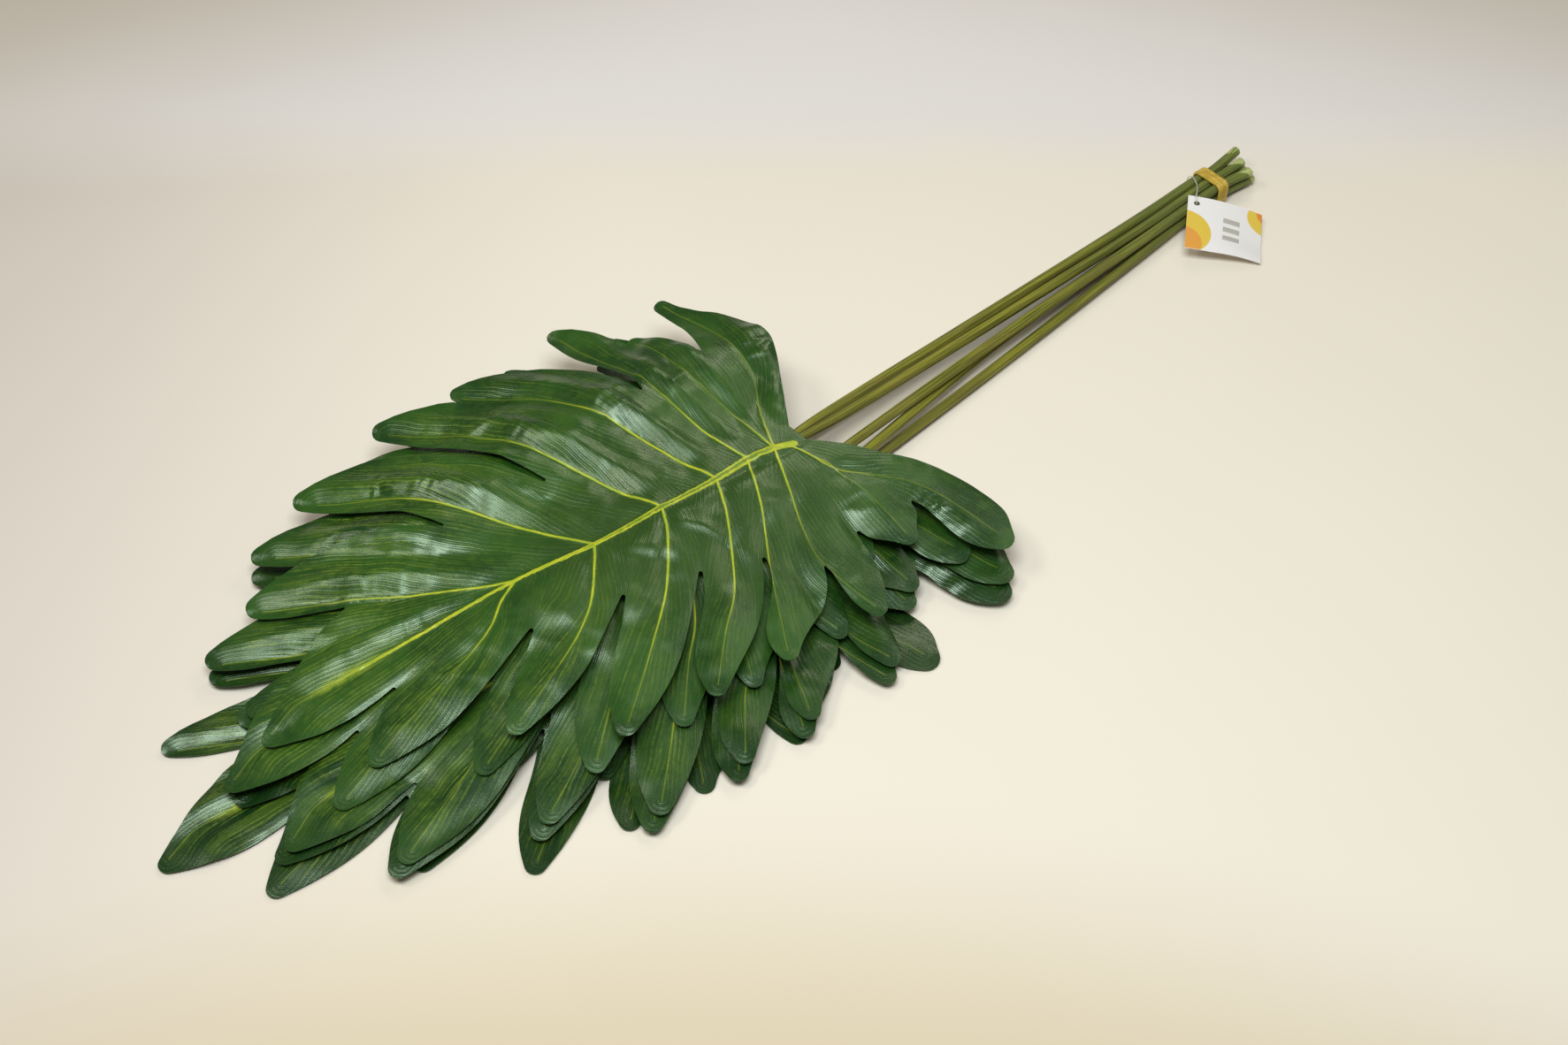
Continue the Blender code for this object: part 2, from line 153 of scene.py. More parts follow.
# Cross pleats beside some veins: (vein, start and end along it as shares, side, height).
PLEATS = [
    (8, 0.50, 0.99, -1, 1.3),
    (7, 0.50, 0.99, -1, 1.0),
    (6, 0.60, 0.95, 1, 0.5),
    (9, 0.10, 0.80, -1, 0.9),
    (10, 0.30, 0.98, -1, 0.8),
    (11, 0.40, 0.92, -1, 0.5),
    (12, 0.30, 0.85, -1, 0.4),
    (15, 0.20, 0.65, -1, 0.7),
    (6, 0.15, 0.50, -1, 0.6),
    (0, 0.20, 0.75, -1, 0.6),
]
PLEAT_LENGTH = 7.0

# Grid on which the leaves are laid one on another.
PILE_LOW = (-220.0, -260.0)
PILE_CELL = 1.5
PILE_CELLS = (460, 360)
PILE_REACH = 2
PILE_SMOOTH = 2
PILE_CLEARANCE = 0.25
PILE_SOFTNESS = 0.3

TOP_GRID = 1.9
LOWER_GRID = 3.0

# Stems: cut end, place in the band, places at two more stations, then two points and diameters.
STEM_STATIONS = (-421, -401, -330, -185)
STEM_PATHS = [
    [(-446, -17, 5.8), (-18.9, 5.45), (-10.5, 5.2), (5.5, 4.6),
     (-50, 19, 4.4, 6.6), (20, 27, 4, 5.4)],
    [(-440, -36, 6.0), (-34.1, 5.45), (-32, 6.2), (-27, 8),
     (-50, -23, 9.6, 6.6), (-10, -20.5, 9.4, 5.2)],
    [(-449, -26.3, 6.2), (-26.5, 5.45), (-20, 5.8), (-6, 9),
     (-50, 18, 16, 6.6), (-6, 24, 17.2, 5.4)],
    [(-441, -16, 13.8), (-18.9, 13.05), (-13.6, 13.4), (-2.5, 17.2),
     (-50, 12, 23.6, 6.6), (-8, 17, 24.6, 5.4)],
    [(-452, -38, 14.2), (-34.1, 13.05), (-30.4, 13.4), (-23.6, 18),
     (-50, -12.5, 29.4, 6.6), (-8, -8.5, 32, 5.4)],
    [(-445, -27, 14), (-26.5, 13.05), (-21.8, 13.6), (-13.6, 20),
     (-60, -1, 34.8, 6.6), (-24, 0.6, 38, 5.4)],
]
STEM_DIAMETER = 7.0
STEM_END_DIAMETER = 4.2
STEM_UNDER_BLADE = 12.0
STEM_SIDES = 28
STEM_STEPS = 14
STEM_RIBS = 7
CUT_SLOPE = 1.9
CUT_START = 1.08
CUT_BULGE = 1.4
SEAT_GAP = 0.3

BAND_CENTRE = (-411.0, -26.5, 9.25)
BAND_HALF_Y = 11.55
BAND_HALF_Z = 7.75
BAND_CORNER = 3.8
BAND_TURNS = 3
BAND_TURN_WIDTH = 3.2
BAND_THICKNESS = 1.5
BAND_GROOVE = 0.9
BAND_LEAN = 0.35

TAG_CORNER = (-383.0, -22.5, 17.9)
TAG_ACROSS = (-36.5, 37.5, -13.4)
TAG_DOWN = (37.5, 32.0, -6.0)
TAG_WIDTH = 54.0
TAG_LENGTH = 49.0
TAG_THICKNESS = 0.5
TAG_BEND = 2.2
TAG_CURL = 3.5
TAG_HOLE = (6.5, 6.5)
TAG_HOLE_RADIUS = 2.2
TAG_ROWS = 36

LOOP_DIAMETER = 1.0
LOOP_SIDES = 12
LOOP_STEPS = 10
LOOP_PATH = [
    (-400.5, -26.5, 0.9),
    (-400.0, -19.0, 0.9),
    (-399.0, -14.0, 3.2),
    (-396.0, -13.2, 8.0),
    (-387.6, -13.2, 12.4),
    (-382.6, -13.6, 15.7),
    (-384.6, -16.8, 19.6),
    (-390.5, -21.5, 19.8),
    (-397.0, -28.0, 18.4),
    (-400.6, -34.8, 17.7),
    (-401.6, -38.9, 14.2),
    (-401.6, -39.2, 9.0),
    (-401.2, -38.6, 3.4),
    (-400.8, -34.0, 0.9),
]

# Leaf colours: the mottled ground with painted shade on the lower leaves, the printed lines, the veins,
# the midrib with its painted shade line, and the back.
LEAF_GROUND = ((0.0072, 0.043, 0.0046), (0.022, 0.084, 0.0064))
LEAF_FLECK = (0.032, 0.092, 0.0078)
LEAF_DULL = (0.028, 0.070, 0.0095)
# Painted shade that darkens the leaves below the top one.
LEAF_PAINTED_SHADE = (0.0020, 0.018, 0.0030)
LEAF_BLOTCH = (0.070, 0.140, 0.0130)
LEAF_LINES = (0.170, 0.245, 0.022)
LEAF_SHEEN = (0.82, 1.0, 0.76, 1.0)
VEIN_HALO = (0.090, 0.175, 0.020)
VEIN_TONES = ((0.340, 0.430, 0.020), (0.540, 0.560, 0.026))
RIB_TONES = ((0.380, 0.460, 0.020), (0.590, 0.590, 0.026))
# Painted shade along the crest of the raised midrib.
RIB_PAINTED_SHADE = (0.110, 0.195, 0.020)
RIB_FLARE = (0.300, 0.400, 0.030)
BACK_TONES = ((0.040, 0.105, 0.030), (0.070, 0.150, 0.045))
BACK_THREAD = (0.110, 0.190, 0.070)

# Stem colours: the coat, its brown stretches, streaks and specks, and the greener cut end.
STEM_COAT = ((0.100, 0.110, 0.013), (0.330, 0.310, 0.030))
STEM_BROWN = (0.190, 0.160, 0.035)
STEM_PALE_STREAK = (0.340, 0.330, 0.075)
STEM_DARK_STREAK = (0.050, 0.058, 0.018)
STEM_SPECK = (0.330, 0.370, 0.110)
STEM_GREEN = (0.120, 0.170, 0.050)
STEM_FRESH = (0.200, 0.260, 0.050)
STEM_END = (0.560, 0.600, 0.230)
STEM_CUT = (0.600, 0.620, 0.330)

BAND_TONES = ((0.520, 0.330, 0.030), (0.680, 0.470, 0.065))
BAND_BLOOM = (0.640, 0.500, 0.120)
LOOP_COLOUR = (0.90, 0.90, 0.84, 1.0)

# Print on the card: discs (centre u, centre v, radius, colour) and even bars.
CARD_TONES = ((0.88, 0.85, 0.82), (0.93, 0.90, 0.87))
CARD_DISCS = [
    (-2.0, 34.0, 20.0, (0.80, 0.56, 0.06)),
    (-3.0, 44.0, 15.0, (0.82, 0.36, 0.05)),
    (57.0, 6.0, 14.0, (0.84, 0.60, 0.08)),
    (59.0, 1.0, 9.0, (0.82, 0.30, 0.05)),
]
CARD_BAR = (0.42, 0.38, 0.33)
CARD_BARS = 3

# Table: the picture's directions on it, its cream colour and speckle, and painted shade in front, at the
# left, far away and in the corners.
TABLE_REACH = 6.0
TABLE_DROP = 0.0002
PICTURE_AWAY = (-0.643, -0.767)
PICTURE_ASIDE = (-0.767, 0.643)
FLOOR_NEAR = (0.88, 0.80, 0.67)
FLOOR_SPOT = (0.86, 0.78, 0.65)
FLOOR_LEFT_PAINTED_SHADE = (0.66, 0.585, 0.515)
FLOOR_FRONT_PAINTED_SHADE = (0.64, 0.52, 0.315)
FLOOR_FAR_PAINTED_SHADE = (0.83, 0.785, 0.755)
FLOOR_CORNER_PAINTED_SHADE = (0.62, 0.55, 0.455)

# Area lights aimed at the origin: name, place, width, height, power, colour.
LIGHTS = [
    ("overhead", (0.44, 0.42, 1.7), 1.0, 0.7, 26.6, (0.89, 0.955, 1.0)),
    ("far_window", (-1.15, -0.95, 1.30), 0.5, 0.5, 3.7, (1.0, 0.92, 0.78)),
    ("left_window", (0.90, -0.55, 1.55), 0.6, 0.4, 6.0, (1.0, 0.96, 0.88)),
    ("right_lamp", (-1.30, 0.15, 1.60), 0.9, 0.6, 3.2, (1.0, 0.95, 0.80)),
]
WORLD_COLOUR = (1.0, 0.975, 0.94, 1.0)
WORLD_STRENGTH = 0.11

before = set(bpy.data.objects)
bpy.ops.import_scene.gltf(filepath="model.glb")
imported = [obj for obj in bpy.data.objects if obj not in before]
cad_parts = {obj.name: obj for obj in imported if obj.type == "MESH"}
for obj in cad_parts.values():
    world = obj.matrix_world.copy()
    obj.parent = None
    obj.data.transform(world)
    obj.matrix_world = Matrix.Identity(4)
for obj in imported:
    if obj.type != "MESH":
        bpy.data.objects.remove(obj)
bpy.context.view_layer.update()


def heading(degrees):
    angle = math.radians(degrees)
    return np.array([math.cos(angle), math.sin(angle)])


def turned(x, y, degrees):
    """Plan places turned about the origin."""
    c, n = heading(degrees)
    return x * c - y * n, x * n + y * c


def bezier(start, reach_start, reach_end, end, count):
    u = np.linspace(0, 1, count + 1)[:, None]
    early = (1 - u) ** 3 * start + 3 * (1 - u) ** 2 * u * reach_start
    late = 3 * (1 - u) * u**2 * reach_end + u**3 * end
    return early + late


def arc(centre, radius, first, last, count):
    angles = np.radians(np.linspace(first, last, count + 1))
    return centre + radius * np.stack([np.cos(angles), np.sin(angles)], -1)


def smooth_curve(points, count, closed=False):
    """A smooth curve through the points; a closed one doesn't repeat its first point."""
    points = np.array(points, float)
    if closed:
        padded = np.concatenate([points[-1:], points, points[:2]])
    else:
        first = 2 * points[:1] - points[1:2]
        last = 2 * points[-1:] - points[-2:-1]
        padded = np.concatenate([first, points, last])
    parts = []
    for k in range(len(padded) - 3):
        before, start, end, after = padded[k : k + 4]
        part = bezier(start, start + (end - before) / 6, end - (after - start) / 6, end, count)
        parts.append(part[:-1])
    return np.concatenate(parts if closed else parts + [points[-1:]])


def side_outline(lobes, notches, side):
    """The edge on one side of the midrib, from the leaf's tip to the tip of the basal lobe."""
    parts = []
    for k, (tip_a, tip_b, head, radius, taper) in enumerate(lobes):
        centre = np.array([tip_a, tip_b], float) - radius * heading(head)
        fore_angle = head - side * (90 - taper)
        aft_angle = head + side * (90 - taper)
        fore = centre + radius * heading(fore_angle)
        aft = centre + radius * heading(aft_angle)
        if k:
            a, b, out, opening = notches[k - 1]
            start = np.array([a, b], float) + NOTCH_RADIUS * heading(out + side * 90)
            reach = EDGE_REACH * np.linalg.norm(fore - start)
            leave = start + reach * heading(out + side * opening)
            arrive = fore - reach * heading(head + side * taper)
            parts.append(bezier(start, leave, arrive, fore, EDGE_POINTS)[:-1])
            parts.append(arc(centre, radius, fore_angle, aft_angle, TIP_POINTS))
        else:
            parts.append(arc(centre, radius, head, aft_angle, TIP_POINTS // 2))
        if k < len(notches):
            a, b, out, opening = notches[k]
            notch = np.array([a, b], float)
            end = notch - NOTCH_RADIUS * heading(out + side * 90)
            reach = EDGE_REACH * np.linalg.norm(end - aft)
            leave = aft - reach * heading(head - side * taper)
            arrive = end + reach * heading(out - side * opening)
            parts.append(bezier(aft, leave, arrive, end, EDGE_POINTS)[1:])
            parts.append(arc(notch, NOTCH_RADIUS, out - side * 90, out - side * 270, 4)[1:-1])
    return np.concatenate(parts)


def leaf_outline():
    near = side_outline(NEAR_LOBES, NEAR_NOTCHES, 1)
    far = side_outline(FAR_LOBES, FAR_NOTCHES, -1)
    back_near = smooth_curve([near[-1]] + BACK_NEAR, BACK_POINTS)[1:]
    back_far = smooth_curve(BACK_FAR + [far[-1]], BACK_POINTS)[:-1]
    return np.concatenate([near, back_near, back_far, far[::-1][:-1]])


def smoothstep(low, high, x):
    u = np.clip((x - low) / (high - low), 0, 1)
    return u * u * (3 - 2 * u)


def floor_height(layer, s, t):
    dome = DOME_HEIGHT * np.exp(-(((t - 28) / 72) ** 2) - ((s - 120) / 190) ** 2)
    along = (1 - smoothstep(190, 310, s)) * smoothstep(-150, -40, s)
    bridge = BRIDGE_HEIGHT * np.exp(-(((t + 80) / 40) ** 2)) * along
    return dome + min(layer, 1) * bridge


def layer_gap(s, t):
    across = np.where(t > 0, np.exp(-((t / 72) ** 2)), np.exp(-((t / 400) ** 2)))
    edge = EDGE_GAP + MIDDLE_GAP * (1 - smoothstep(180, 330, s))
    toward_tip = (1 - 0.75 * smoothstep(60, 240, s)) * (1 - smoothstep(200, 330, s))
    return edge + CORE_GAP * across * toward_tip * smoothstep(-160, -40, s)


def under_height(layer, s, t):
    """Height of the underside of one leaf of the pile."""
    phase = 2.4 * layer
    away = 1 - np.exp(-(((s - 20) / 60) ** 2) - (t / 45) ** 2)
    wave = np.sin(s / 31 + phase) * np.cos(t / 37 + 1.7 * phase) * away
    return floor_height(layer, s, t) + layer_gap(s, t) * (layer + WAVE_SHARE * min(layer, 1) * wave)


def to_bundle(s, t, z):
    return np.stack([*turned(s, t, TOP_LEAF_TURN), z], -1)


def leaf_to_pile(layer, plan):
    base_s, base_t, turn, far_width = LEAVES[layer]
    b = np.where(plan[:, 1] < 0, far_width, 1.0) * plan[:, 1]
    s, t = turned(plan[:, 0], b, turn)
    return base_s + s, base_t + t


def between_cells(table, x, y, ease=False):
    """The table's value at places between its cells, with soft steps where ease is true."""
    i = np.floor(x).astype(int)
    j = np.floor(y).astype(int)
    u = x - i
    v = y - j
    if ease:
        u = u * u * (3 - 2 * u)
        v = v * v * (3 - 2 * v)
    rows, columns = table.shape
    low = table[i % rows, j % columns] * (1 - u) + table[(i + 1) % rows, j % columns] * u
    high = table[i % rows, (j + 1) % columns] * (1 - u) + table[(i + 1) % rows, (j + 1) % columns] * u
    return low * (1 - v) + high * v


def lumps(x, y, wavelength, seed):
    """Smooth random bumps between -1 and 1."""
    table = np.random.default_rng(seed).uniform(-1, 1, (64, 64))
    return between_cells(table, x / wavelength + 7.3 * seed, y / wavelength + 3.1 * seed, ease=True)


def in_chunks(function):
    """The same function of many points and a line, run on a few thousand points at a time."""

    def run(points, line):
        parts = [function(points[k : k + CHUNK], line) for k in range(0, len(points), CHUNK)]
        if isinstance(parts[0], tuple):
            return tuple(np.concatenate(column) for column in zip(*parts))
        return np.concatenate(parts)

    return run


@in_chunks
def inside(points, outline):
    start = outline
    end = np.roll(outline, -1, 0)
    x = points[:, 0:1]
    y = points[:, 1:2]
    spans = (start[:, 1] > y) != (end[:, 1] > y)
    rise = np.where(end[:, 1] == start[:, 1], 1.0, end[:, 1] - start[:, 1])
    cross = start[:, 0] + (y - start[:, 1]) * (end[:, 0] - start[:, 0]) / rise
    return (np.sum(spans & (x < cross), 1) % 2) == 1


@in_chunks
def along_curve(points, curve):
    """Distance along a polyline to each point's nearest spot, and the signed distance from it."""
    start = curve[:-1]
    span = curve[1:] - curve[:-1]
    length = np.linalg.norm(span, axis=1)
    before = np.concatenate([[0], np.cumsum(length)[:-1]])
    rel = points[:, None, :] - start[None]
    u = np.clip(np.sum(rel * span, -1) / (length**2), 0, 1)
    gap = rel - u[..., None] * span
    distance = np.linalg.norm(gap, axis=-1)
    pick = np.argmin(distance, 1)
    rows = np.arange(len(points))
    side = span[pick, 0] * rel[rows, pick, 1] - span[pick, 1] * rel[rows, pick, 0]
    sign = np.where(side >= 0, 1.0, -1.0)
    return before[pick] + u[rows, pick] * length[pick], sign * distance[rows, pick]


class LeafPlan:
    """Flat mesh of one leaf with its place along and beside every vein."""

    def __init__(self, grid_step):
        self.outline = leaf_outline()
        self.closed = np.concatenate([self.outline, self.outline[:1]])
        self.midrib = smooth_curve(MIDRIB, 8)
        self.veins = [smooth_curve(points, 10) for points, start, end in SIDE_VEINS]
        self.triangulate(grid_step)
        self.measure()

    def triangulate(self, grid_step):
        """Triangles with edges along the outline, the midrib and every vein."""
        points = [self.outline]
        count = len(self.outline)
        edges = [(k, (k + 1) % count) for k in range(count)]
        for curve in [self.midrib] + self.veins:
            inner = curve[inside(curve, self.outline)]
            points.append(inner)
            edges += [(count + k, count + k + 1) for k in range(len(inner) - 1)]
            count += len(inner)
            across = np.gradient(inner, axis=0)
            across = np.stack([-across[:, 1], across[:, 0]], -1)
            across /= np.linalg.norm(across, axis=1)[:, None]
            for offset in (-VEIN_BORDER, VEIN_BORDER):
                row = inner + offset * across
                row = row[inside(row, self.outline)]
                points.append(row)
                count += len(row)
        points.append(self.filling(grid_step))
        flat = [Vector(p) for p in np.concatenate(points)]
        result = geometry.delaunay_2d_cdt(flat, edges, [], 1, 1e-4)
        self.points = np.array([tuple(v) for v in result[0]])
        self.triangles = np.array([tuple(f) for f in result[2]])

    def filling(self, grid_step):
        """Points spread over the leaf, clear of its edge and of its veins."""
        low = self.outline.min(0)
        high = self.outline.max(0)
        rows = []
        for k, b in enumerate(np.arange(low[1], high[1], grid_step * math.sqrt(3) / 2)):
            a = np.arange(low[0] + (k % 2) * grid_step / 2, high[0], grid_step)
            rows.append(np.stack([a, np.full(len(a), b)], -1))
        grid = np.concatenate(rows)
        grid = grid + np.random.default_rng(5).uniform(-0.12, 0.12, grid.shape) * grid_step
        grid = grid[inside(grid, self.outline)]
        grid = grid[np.abs(along_curve(grid, self.closed)[1]) > 0.45 * grid_step]
        near = [np.abs(along_curve(grid, curve)[1]) for curve in [self.midrib] + self.veins]
        return grid[np.min(near, 0) > 0.9 * grid_step]

    def measure(self):
        self.edge = np.abs(along_curve(self.points, self.closed)[1])
        self.rib_v = along_curve(self.points, self.midrib)[1]
        places = [along_curve(self.points, curve) for curve in self.veins]
        self.u = np.stack([u for u, v in places], 1)
        self.v = np.stack([v for u, v in places], 1)
        self.lengths = np.array([np.linalg.norm(np.diff(c, axis=0), axis=1).sum() for c in self.veins])
        middles = self.points[self.triangles].mean(1)
        away = np.stack([along_curve(middles, curve)[1] for curve in self.veins], 1)
        self.face_vein = np.argmin(np.abs(away), 1)
        self.face_side = away[np.arange(len(away)), self.face_vein] > 0


def far_profile(v, share, depth, crest):
    """Valley at the vein, a steep bright rise beyond it and a gentle one toward the camera."""
    away = np.abs(v)
    fade = smoothstep(0.0, 0.16, share) * (1 - 0.5 * smoothstep(0.75, 1.0, share))
    climb = 1 - (1 - np.minimum(away / 13, 1)) ** 1.35
    beyond = (depth + crest) * climb - (crest + 1.6) * smoothstep(11, 30, away)
    front = (depth + 0.3) * np.sin(np.minimum(away / 15, 1) * math.pi / 2)
    return fade * (-depth + np.where(v < 0, beyond, front))


def near_profile(v, share, depth, roof):
    """Valley at the vein in the blade, turning to a ridge with falling sides in the lobe."""
    away = np.abs(v)
    in_blade = smoothstep(0.0, 0.15, share) * (1 - smoothstep(0.35, 0.6, share))
    valley = -depth * np.exp(-((away / 6.5) ** 2)) * in_blade
    fall = np.where(v < 0, 1.0, 0.55) * np.minimum(away / 17, 1.25) ** 1.35
    ridge = smoothstep(0.42, 0.78, share) * (0.35 - fall)
    return valley + roof * ridge * (1 - 0.65 * smoothstep(0.85, 1.0, share))


def vein_profile(k, v, share):
    """Relief beside one vein."""
    if k == 0:
        return far_profile(v, share, TIP_VALLEY, TIP_CREST)
    if k < FIRST_FAR_VEIN:
        return near_profile(v, share, NEAR_VALLEY, NEAR_ROOF)
    strong = 1.0 if k <= LAST_STRONG_VEIN else 0.6
    if k <= LAST_TIP_VEIN:
        strong = 0.5 + 0.65 * smoothstep(0.2, 0.6, share)
    return far_profile(v, share, FAR_VALLEY * strong, FAR_CREST * strong)


def wrinkles(plan, seed):
    """Short folds across some lobes, crowded beside the vein and uneven in height."""
    a, b = plan.points.T
    height = np.zeros(len(a))
    for k, first, last, side, amount in PLEATS:
        share = plan.u[:, k] / plan.lengths[k]
        off = plan.v[:, k] * side
        band = smoothstep(0.5, 4.5, off) * (1 - smoothstep(13, 24, off))
        along = smoothstep(first, first + 0.25, share) * (1 - smoothstep(last - 0.2, last, share))
        warp = 0.9 * lumps(a, b, 16, seed + 5) + 0.03 * off
        fold = lumps(plan.u[:, k] / PLEAT_LENGTH + warp, off / 22, 1.0, seed + 6 + k)
        patch = 0.15 + 0.85 * smoothstep(-0.4, 0.6, lumps(a, b, 21, seed + 7))
        height += 1.25 * amount * band * along * patch * (1.0 - 2.4 * np.abs(fold))
    return height


def folds(a, b, seed):
    """Long soft creases, turned one way on the near half and another on the far half."""
    total = np.zeros(len(a))
    warp = 0.5 * lumps(a, b, 30, seed + 8)
    for side, turn in ((1.0, 38.0), (-1.0, -52.0)):
        x, y = turned(a, b, -turn)
        crease = 1 - 2.2 * np.abs(lumps(x / 17 + warp, y / 50, 1.0, seed + 9))
        total += crease * smoothstep(-6, 6, side * b)
    return total


def relief(layer, plan):
    """Height of valleys and lobes above the drape, and of the creases on top of that."""
    a, b = plan.points.T
    seed = 11 * layer
    height = np.zeros(len(a))
    total = np.zeros(len(a))
    crest = np.zeros(len(a))
    for k in range(len(plan.veins)):
        share = plan.u[:, k] / plan.lengths[k]
        v = plan.v[:, k]
        weight = np.exp(-np.abs(v) / 3.5) + 1e-9
        height += weight * vein_profile(k, v, share)
        total += weight
        line = 0.42 * np.exp(-((v / 0.9) ** 2)) * (1 - smoothstep(0.6, 0.95, share))
        crest = np.maximum(crest, line)
    height = height / total
    middle = np.exp(-((plan.rib_v / 12) ** 2)) * (1 - 0.6 * smoothstep(190, 320, a))
    height = height * (1 - middle) - RIB_VALLEY * middle
    rib_line = 0.7 * np.exp(-((plan.rib_v / 1.5) ** 2)) * (1 - smoothstep(120, 300, a))
    crest = np.maximum(crest, rib_line)
    height += (1.9 - smoothstep(-20, 40, b)) * lumps(a, b, 56, seed + 1)
    height -= 0.2 * np.exp(-((plan.edge / 3.0) ** 2)) * smoothstep(15, 50, np.abs(b))
    if layer != TOP_LAYER:
        height -= (LOWER_SAG + LOWER_SAG_STEP * layer) * smoothstep(42, 105, b)
    patch = smoothstep(-0.35, 0.6, lumps(a, b, 44, seed + 3))
    calm = (1 - 0.55 * smoothstep(110, 240, a)) * (1 - 0.5 * smoothstep(15, 60, b))
    small = 1.7 * lumps(a, b, 17, seed + 4) + 1.1 * lumps(a, b, 9, seed + 12)
    fine = calm * (0.3 + 0.7 * patch) * (1 - 0.7 * middle) * small
    fine += calm * patch * (1 - middle) * folds(a, b, seed) + wrinkles(plan, seed)
    fine = CREASE_SOFTNESS * np.logaddexp(0.0, (fine + CREASE_LIFT) / CREASE_SOFTNESS)
    return height, fine + crest


class Wire:
    """One output in a node tree, which adds, subtracts, multiplies, divides and takes powers."""

    def __init__(self, nodes, socket):
        self.nodes = nodes
        self.socket = socket

    def __add__(self, other):
        return self.nodes.math("ADD", self, other)

    def __sub__(self, other):
        return self.nodes.math("SUBTRACT", self, other)

    def __rsub__(self, other):
        return self.nodes.math("SUBTRACT", other, self)

    def __mul__(self, other):
        return self.nodes.math("MULTIPLY", self, other)

    def __truediv__(self, other):
        return self.nodes.math("DIVIDE", self, other)

    def __pow__(self, other):
        return self.nodes.math("POWER", self, other)


class Nodes:
    """A new material and short calls for building its node tree."""

    def __init__(self, name):
        self.material = bpy.data.materials.new(name)
        self.material.use_nodes = True
        self.tree = self.material.node_tree
        self.shader = self.tree.nodes["Principled BSDF"]

    def node(self, kind, **settings):
        node = self.tree.nodes.new("ShaderNode" + kind)
        for name, value in settings.items():
            setattr(node, name, value)
        return node

    def put(self, value, socket):
        """Link a wire to a socket, or set a number or a colour on it."""
        if isinstance(value, Wire):
            self.tree.links.new(value.socket, socket)
        elif isinstance(value, tuple) and len(value) == 3:
            socket.default_value = (*value, 1.0)
        else:
            socket.default_value = value

    def feed(self, name, value):
        self.put(value, self.shader.inputs[name])

    def math(self, kind, first, second=0.0):
        node = self.node("Math", operation=kind)
        self.put(first, node.inputs[0])
        self.put(second, node.inputs[1])
        return Wire(self, node.outputs[0])

    def ramp(self, value, low, high, to_low=0.0, to_high=1.0, smooth=True):
        node = self.node("MapRange", interpolation_type="SMOOTHSTEP" if smooth else "LINEAR")
        names = ("Value", "From Min", "From Max", "To Min", "To Max")
        for name, item in zip(names, (value, low, high, to_low, to_high)):
            self.put(item, node.inputs[name])
        return Wire(self, node.outputs["Result"])

    def split(self, place):
        node = self.node("SeparateXYZ")
        self.put(place, node.inputs[0])
        return [Wire(self, socket) for socket in node.outputs]

    def attribute(self, name):
        node = self.node("Attribute", attribute_name=name)
        return self.split(Wire(self, node.outputs["Vector"]))

    def vector(self, x, y, z):
        node = self.node("CombineXYZ")
        for item, socket in zip((x, y, z), node.inputs):
            self.put(item, socket)
        return Wire(self, node.outputs[0])

    def noise(self, place, scale, detail, rough):
        node = self.node("TexNoise")
        for name, item in (("Vector", place), ("Scale", scale), ("Detail", detail), ("Roughness", rough)):
            self.put(item, node.inputs[name])
        return Wire(self, node.outputs["Fac"])

    def mix(self, amount, first, second):
        node = self.node("Mix", data_type="RGBA")
        self.put(amount, node.inputs["Factor"])
        colours = [socket for socket in node.inputs if socket.type == "RGBA"]
        self.put(first, colours[0])
        self.put(second, colours[1])
        return Wire(self, [socket for socket in node.outputs if socket.type == "RGBA"][0])

    def random(self, value):
        node = self.node("TexWhiteNoise", noise_dimensions="1D")
        self.put(value, node.inputs["W"])
        return Wire(self, node.outputs["Value"])

    def threads(self, lane, u, shift, spacing, width):
        """Thin lines side by side, each with its own strength and its own gaps along its length."""
        count = lane / spacing + 500.0
        number = self.math("FLOOR", count)
        gap = self.math("ABSOLUTE", self.math("FRACT", count) - 0.5)
        chance = self.random(number + shift)
        line = self.ramp(gap, width, width * 0.25)
        gaps = self.noise(self.vector(u * 0.045, number * 7.7 + shift, 0.0), 1.0, 1.0, 0.5)
        strength = self.ramp(gaps + chance * 0.35, 0.50, 0.85)
        return line * strength, line

    def bump(self, height, distance, normal=None):
        node = self.node("Bump")
        node.inputs["Strength"].default_value = 1.0
        node.inputs["Distance"].default_value = distance
        self.put(height, node.inputs["Height"])
        if normal:
            self.put(normal, node.inputs["Normal"])
        return Wire(self, node.outputs["Normal"])


def mesh_object(name, verts, faces, sharp_degrees=50.0):
    mesh = bpy.data.meshes.new(name)
    placed = (np.asarray(verts, float) + ORIGIN_SHIFT) * MM
    mesh.from_pydata(placed.tolist(), [], [tuple(int(i) for i in f) for f in faces])
    mesh.polygons.foreach_set("use_smooth", [True] * len(mesh.polygons))
    mesh.set_sharp_from_angle(angle=math.radians(sharp_degrees))
    item = bpy.data.objects.new(name, mesh)
    bpy.context.scene.collection.objects.link(item)
    return item


def corner_attribute(item, name, *columns):
    layer = item.data.attributes.new(name, "FLOAT_VECTOR", "CORNER")
    values = np.stack(np.broadcast_arrays(*columns), 1)
    layer.data.foreach_set("vector", values.astype(np.float32).ravel())


def dress(item, node, material):
    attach(item, "root")
    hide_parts(node)
    item.data.materials.append(material)


def rim_edges(triangles):
    """Edges used by one triangle only, in the order that the triangles run."""
    a = np.concatenate([triangles[:, [0, 1]], triangles[:, [1, 2]], triangles[:, [2, 0]]])
    code = a[:, 0].astype(np.int64) * 1000000 + a[:, 1]
    back = a[:, 1].astype(np.int64) * 1000000 + a[:, 0]
    return a[~np.isin(code, back)]


def turned_alike(flat, triangles, sign=1.0):
    """The triangles, all turned the same way round in plan."""
    corner = flat[triangles]
    turn = np.cross(corner[:, 1] - corner[:, 0], corner[:, 2] - corner[:, 0]) * sign
    return np.where(turn[:, None] > 0, triangles, triangles[:, ::-1])


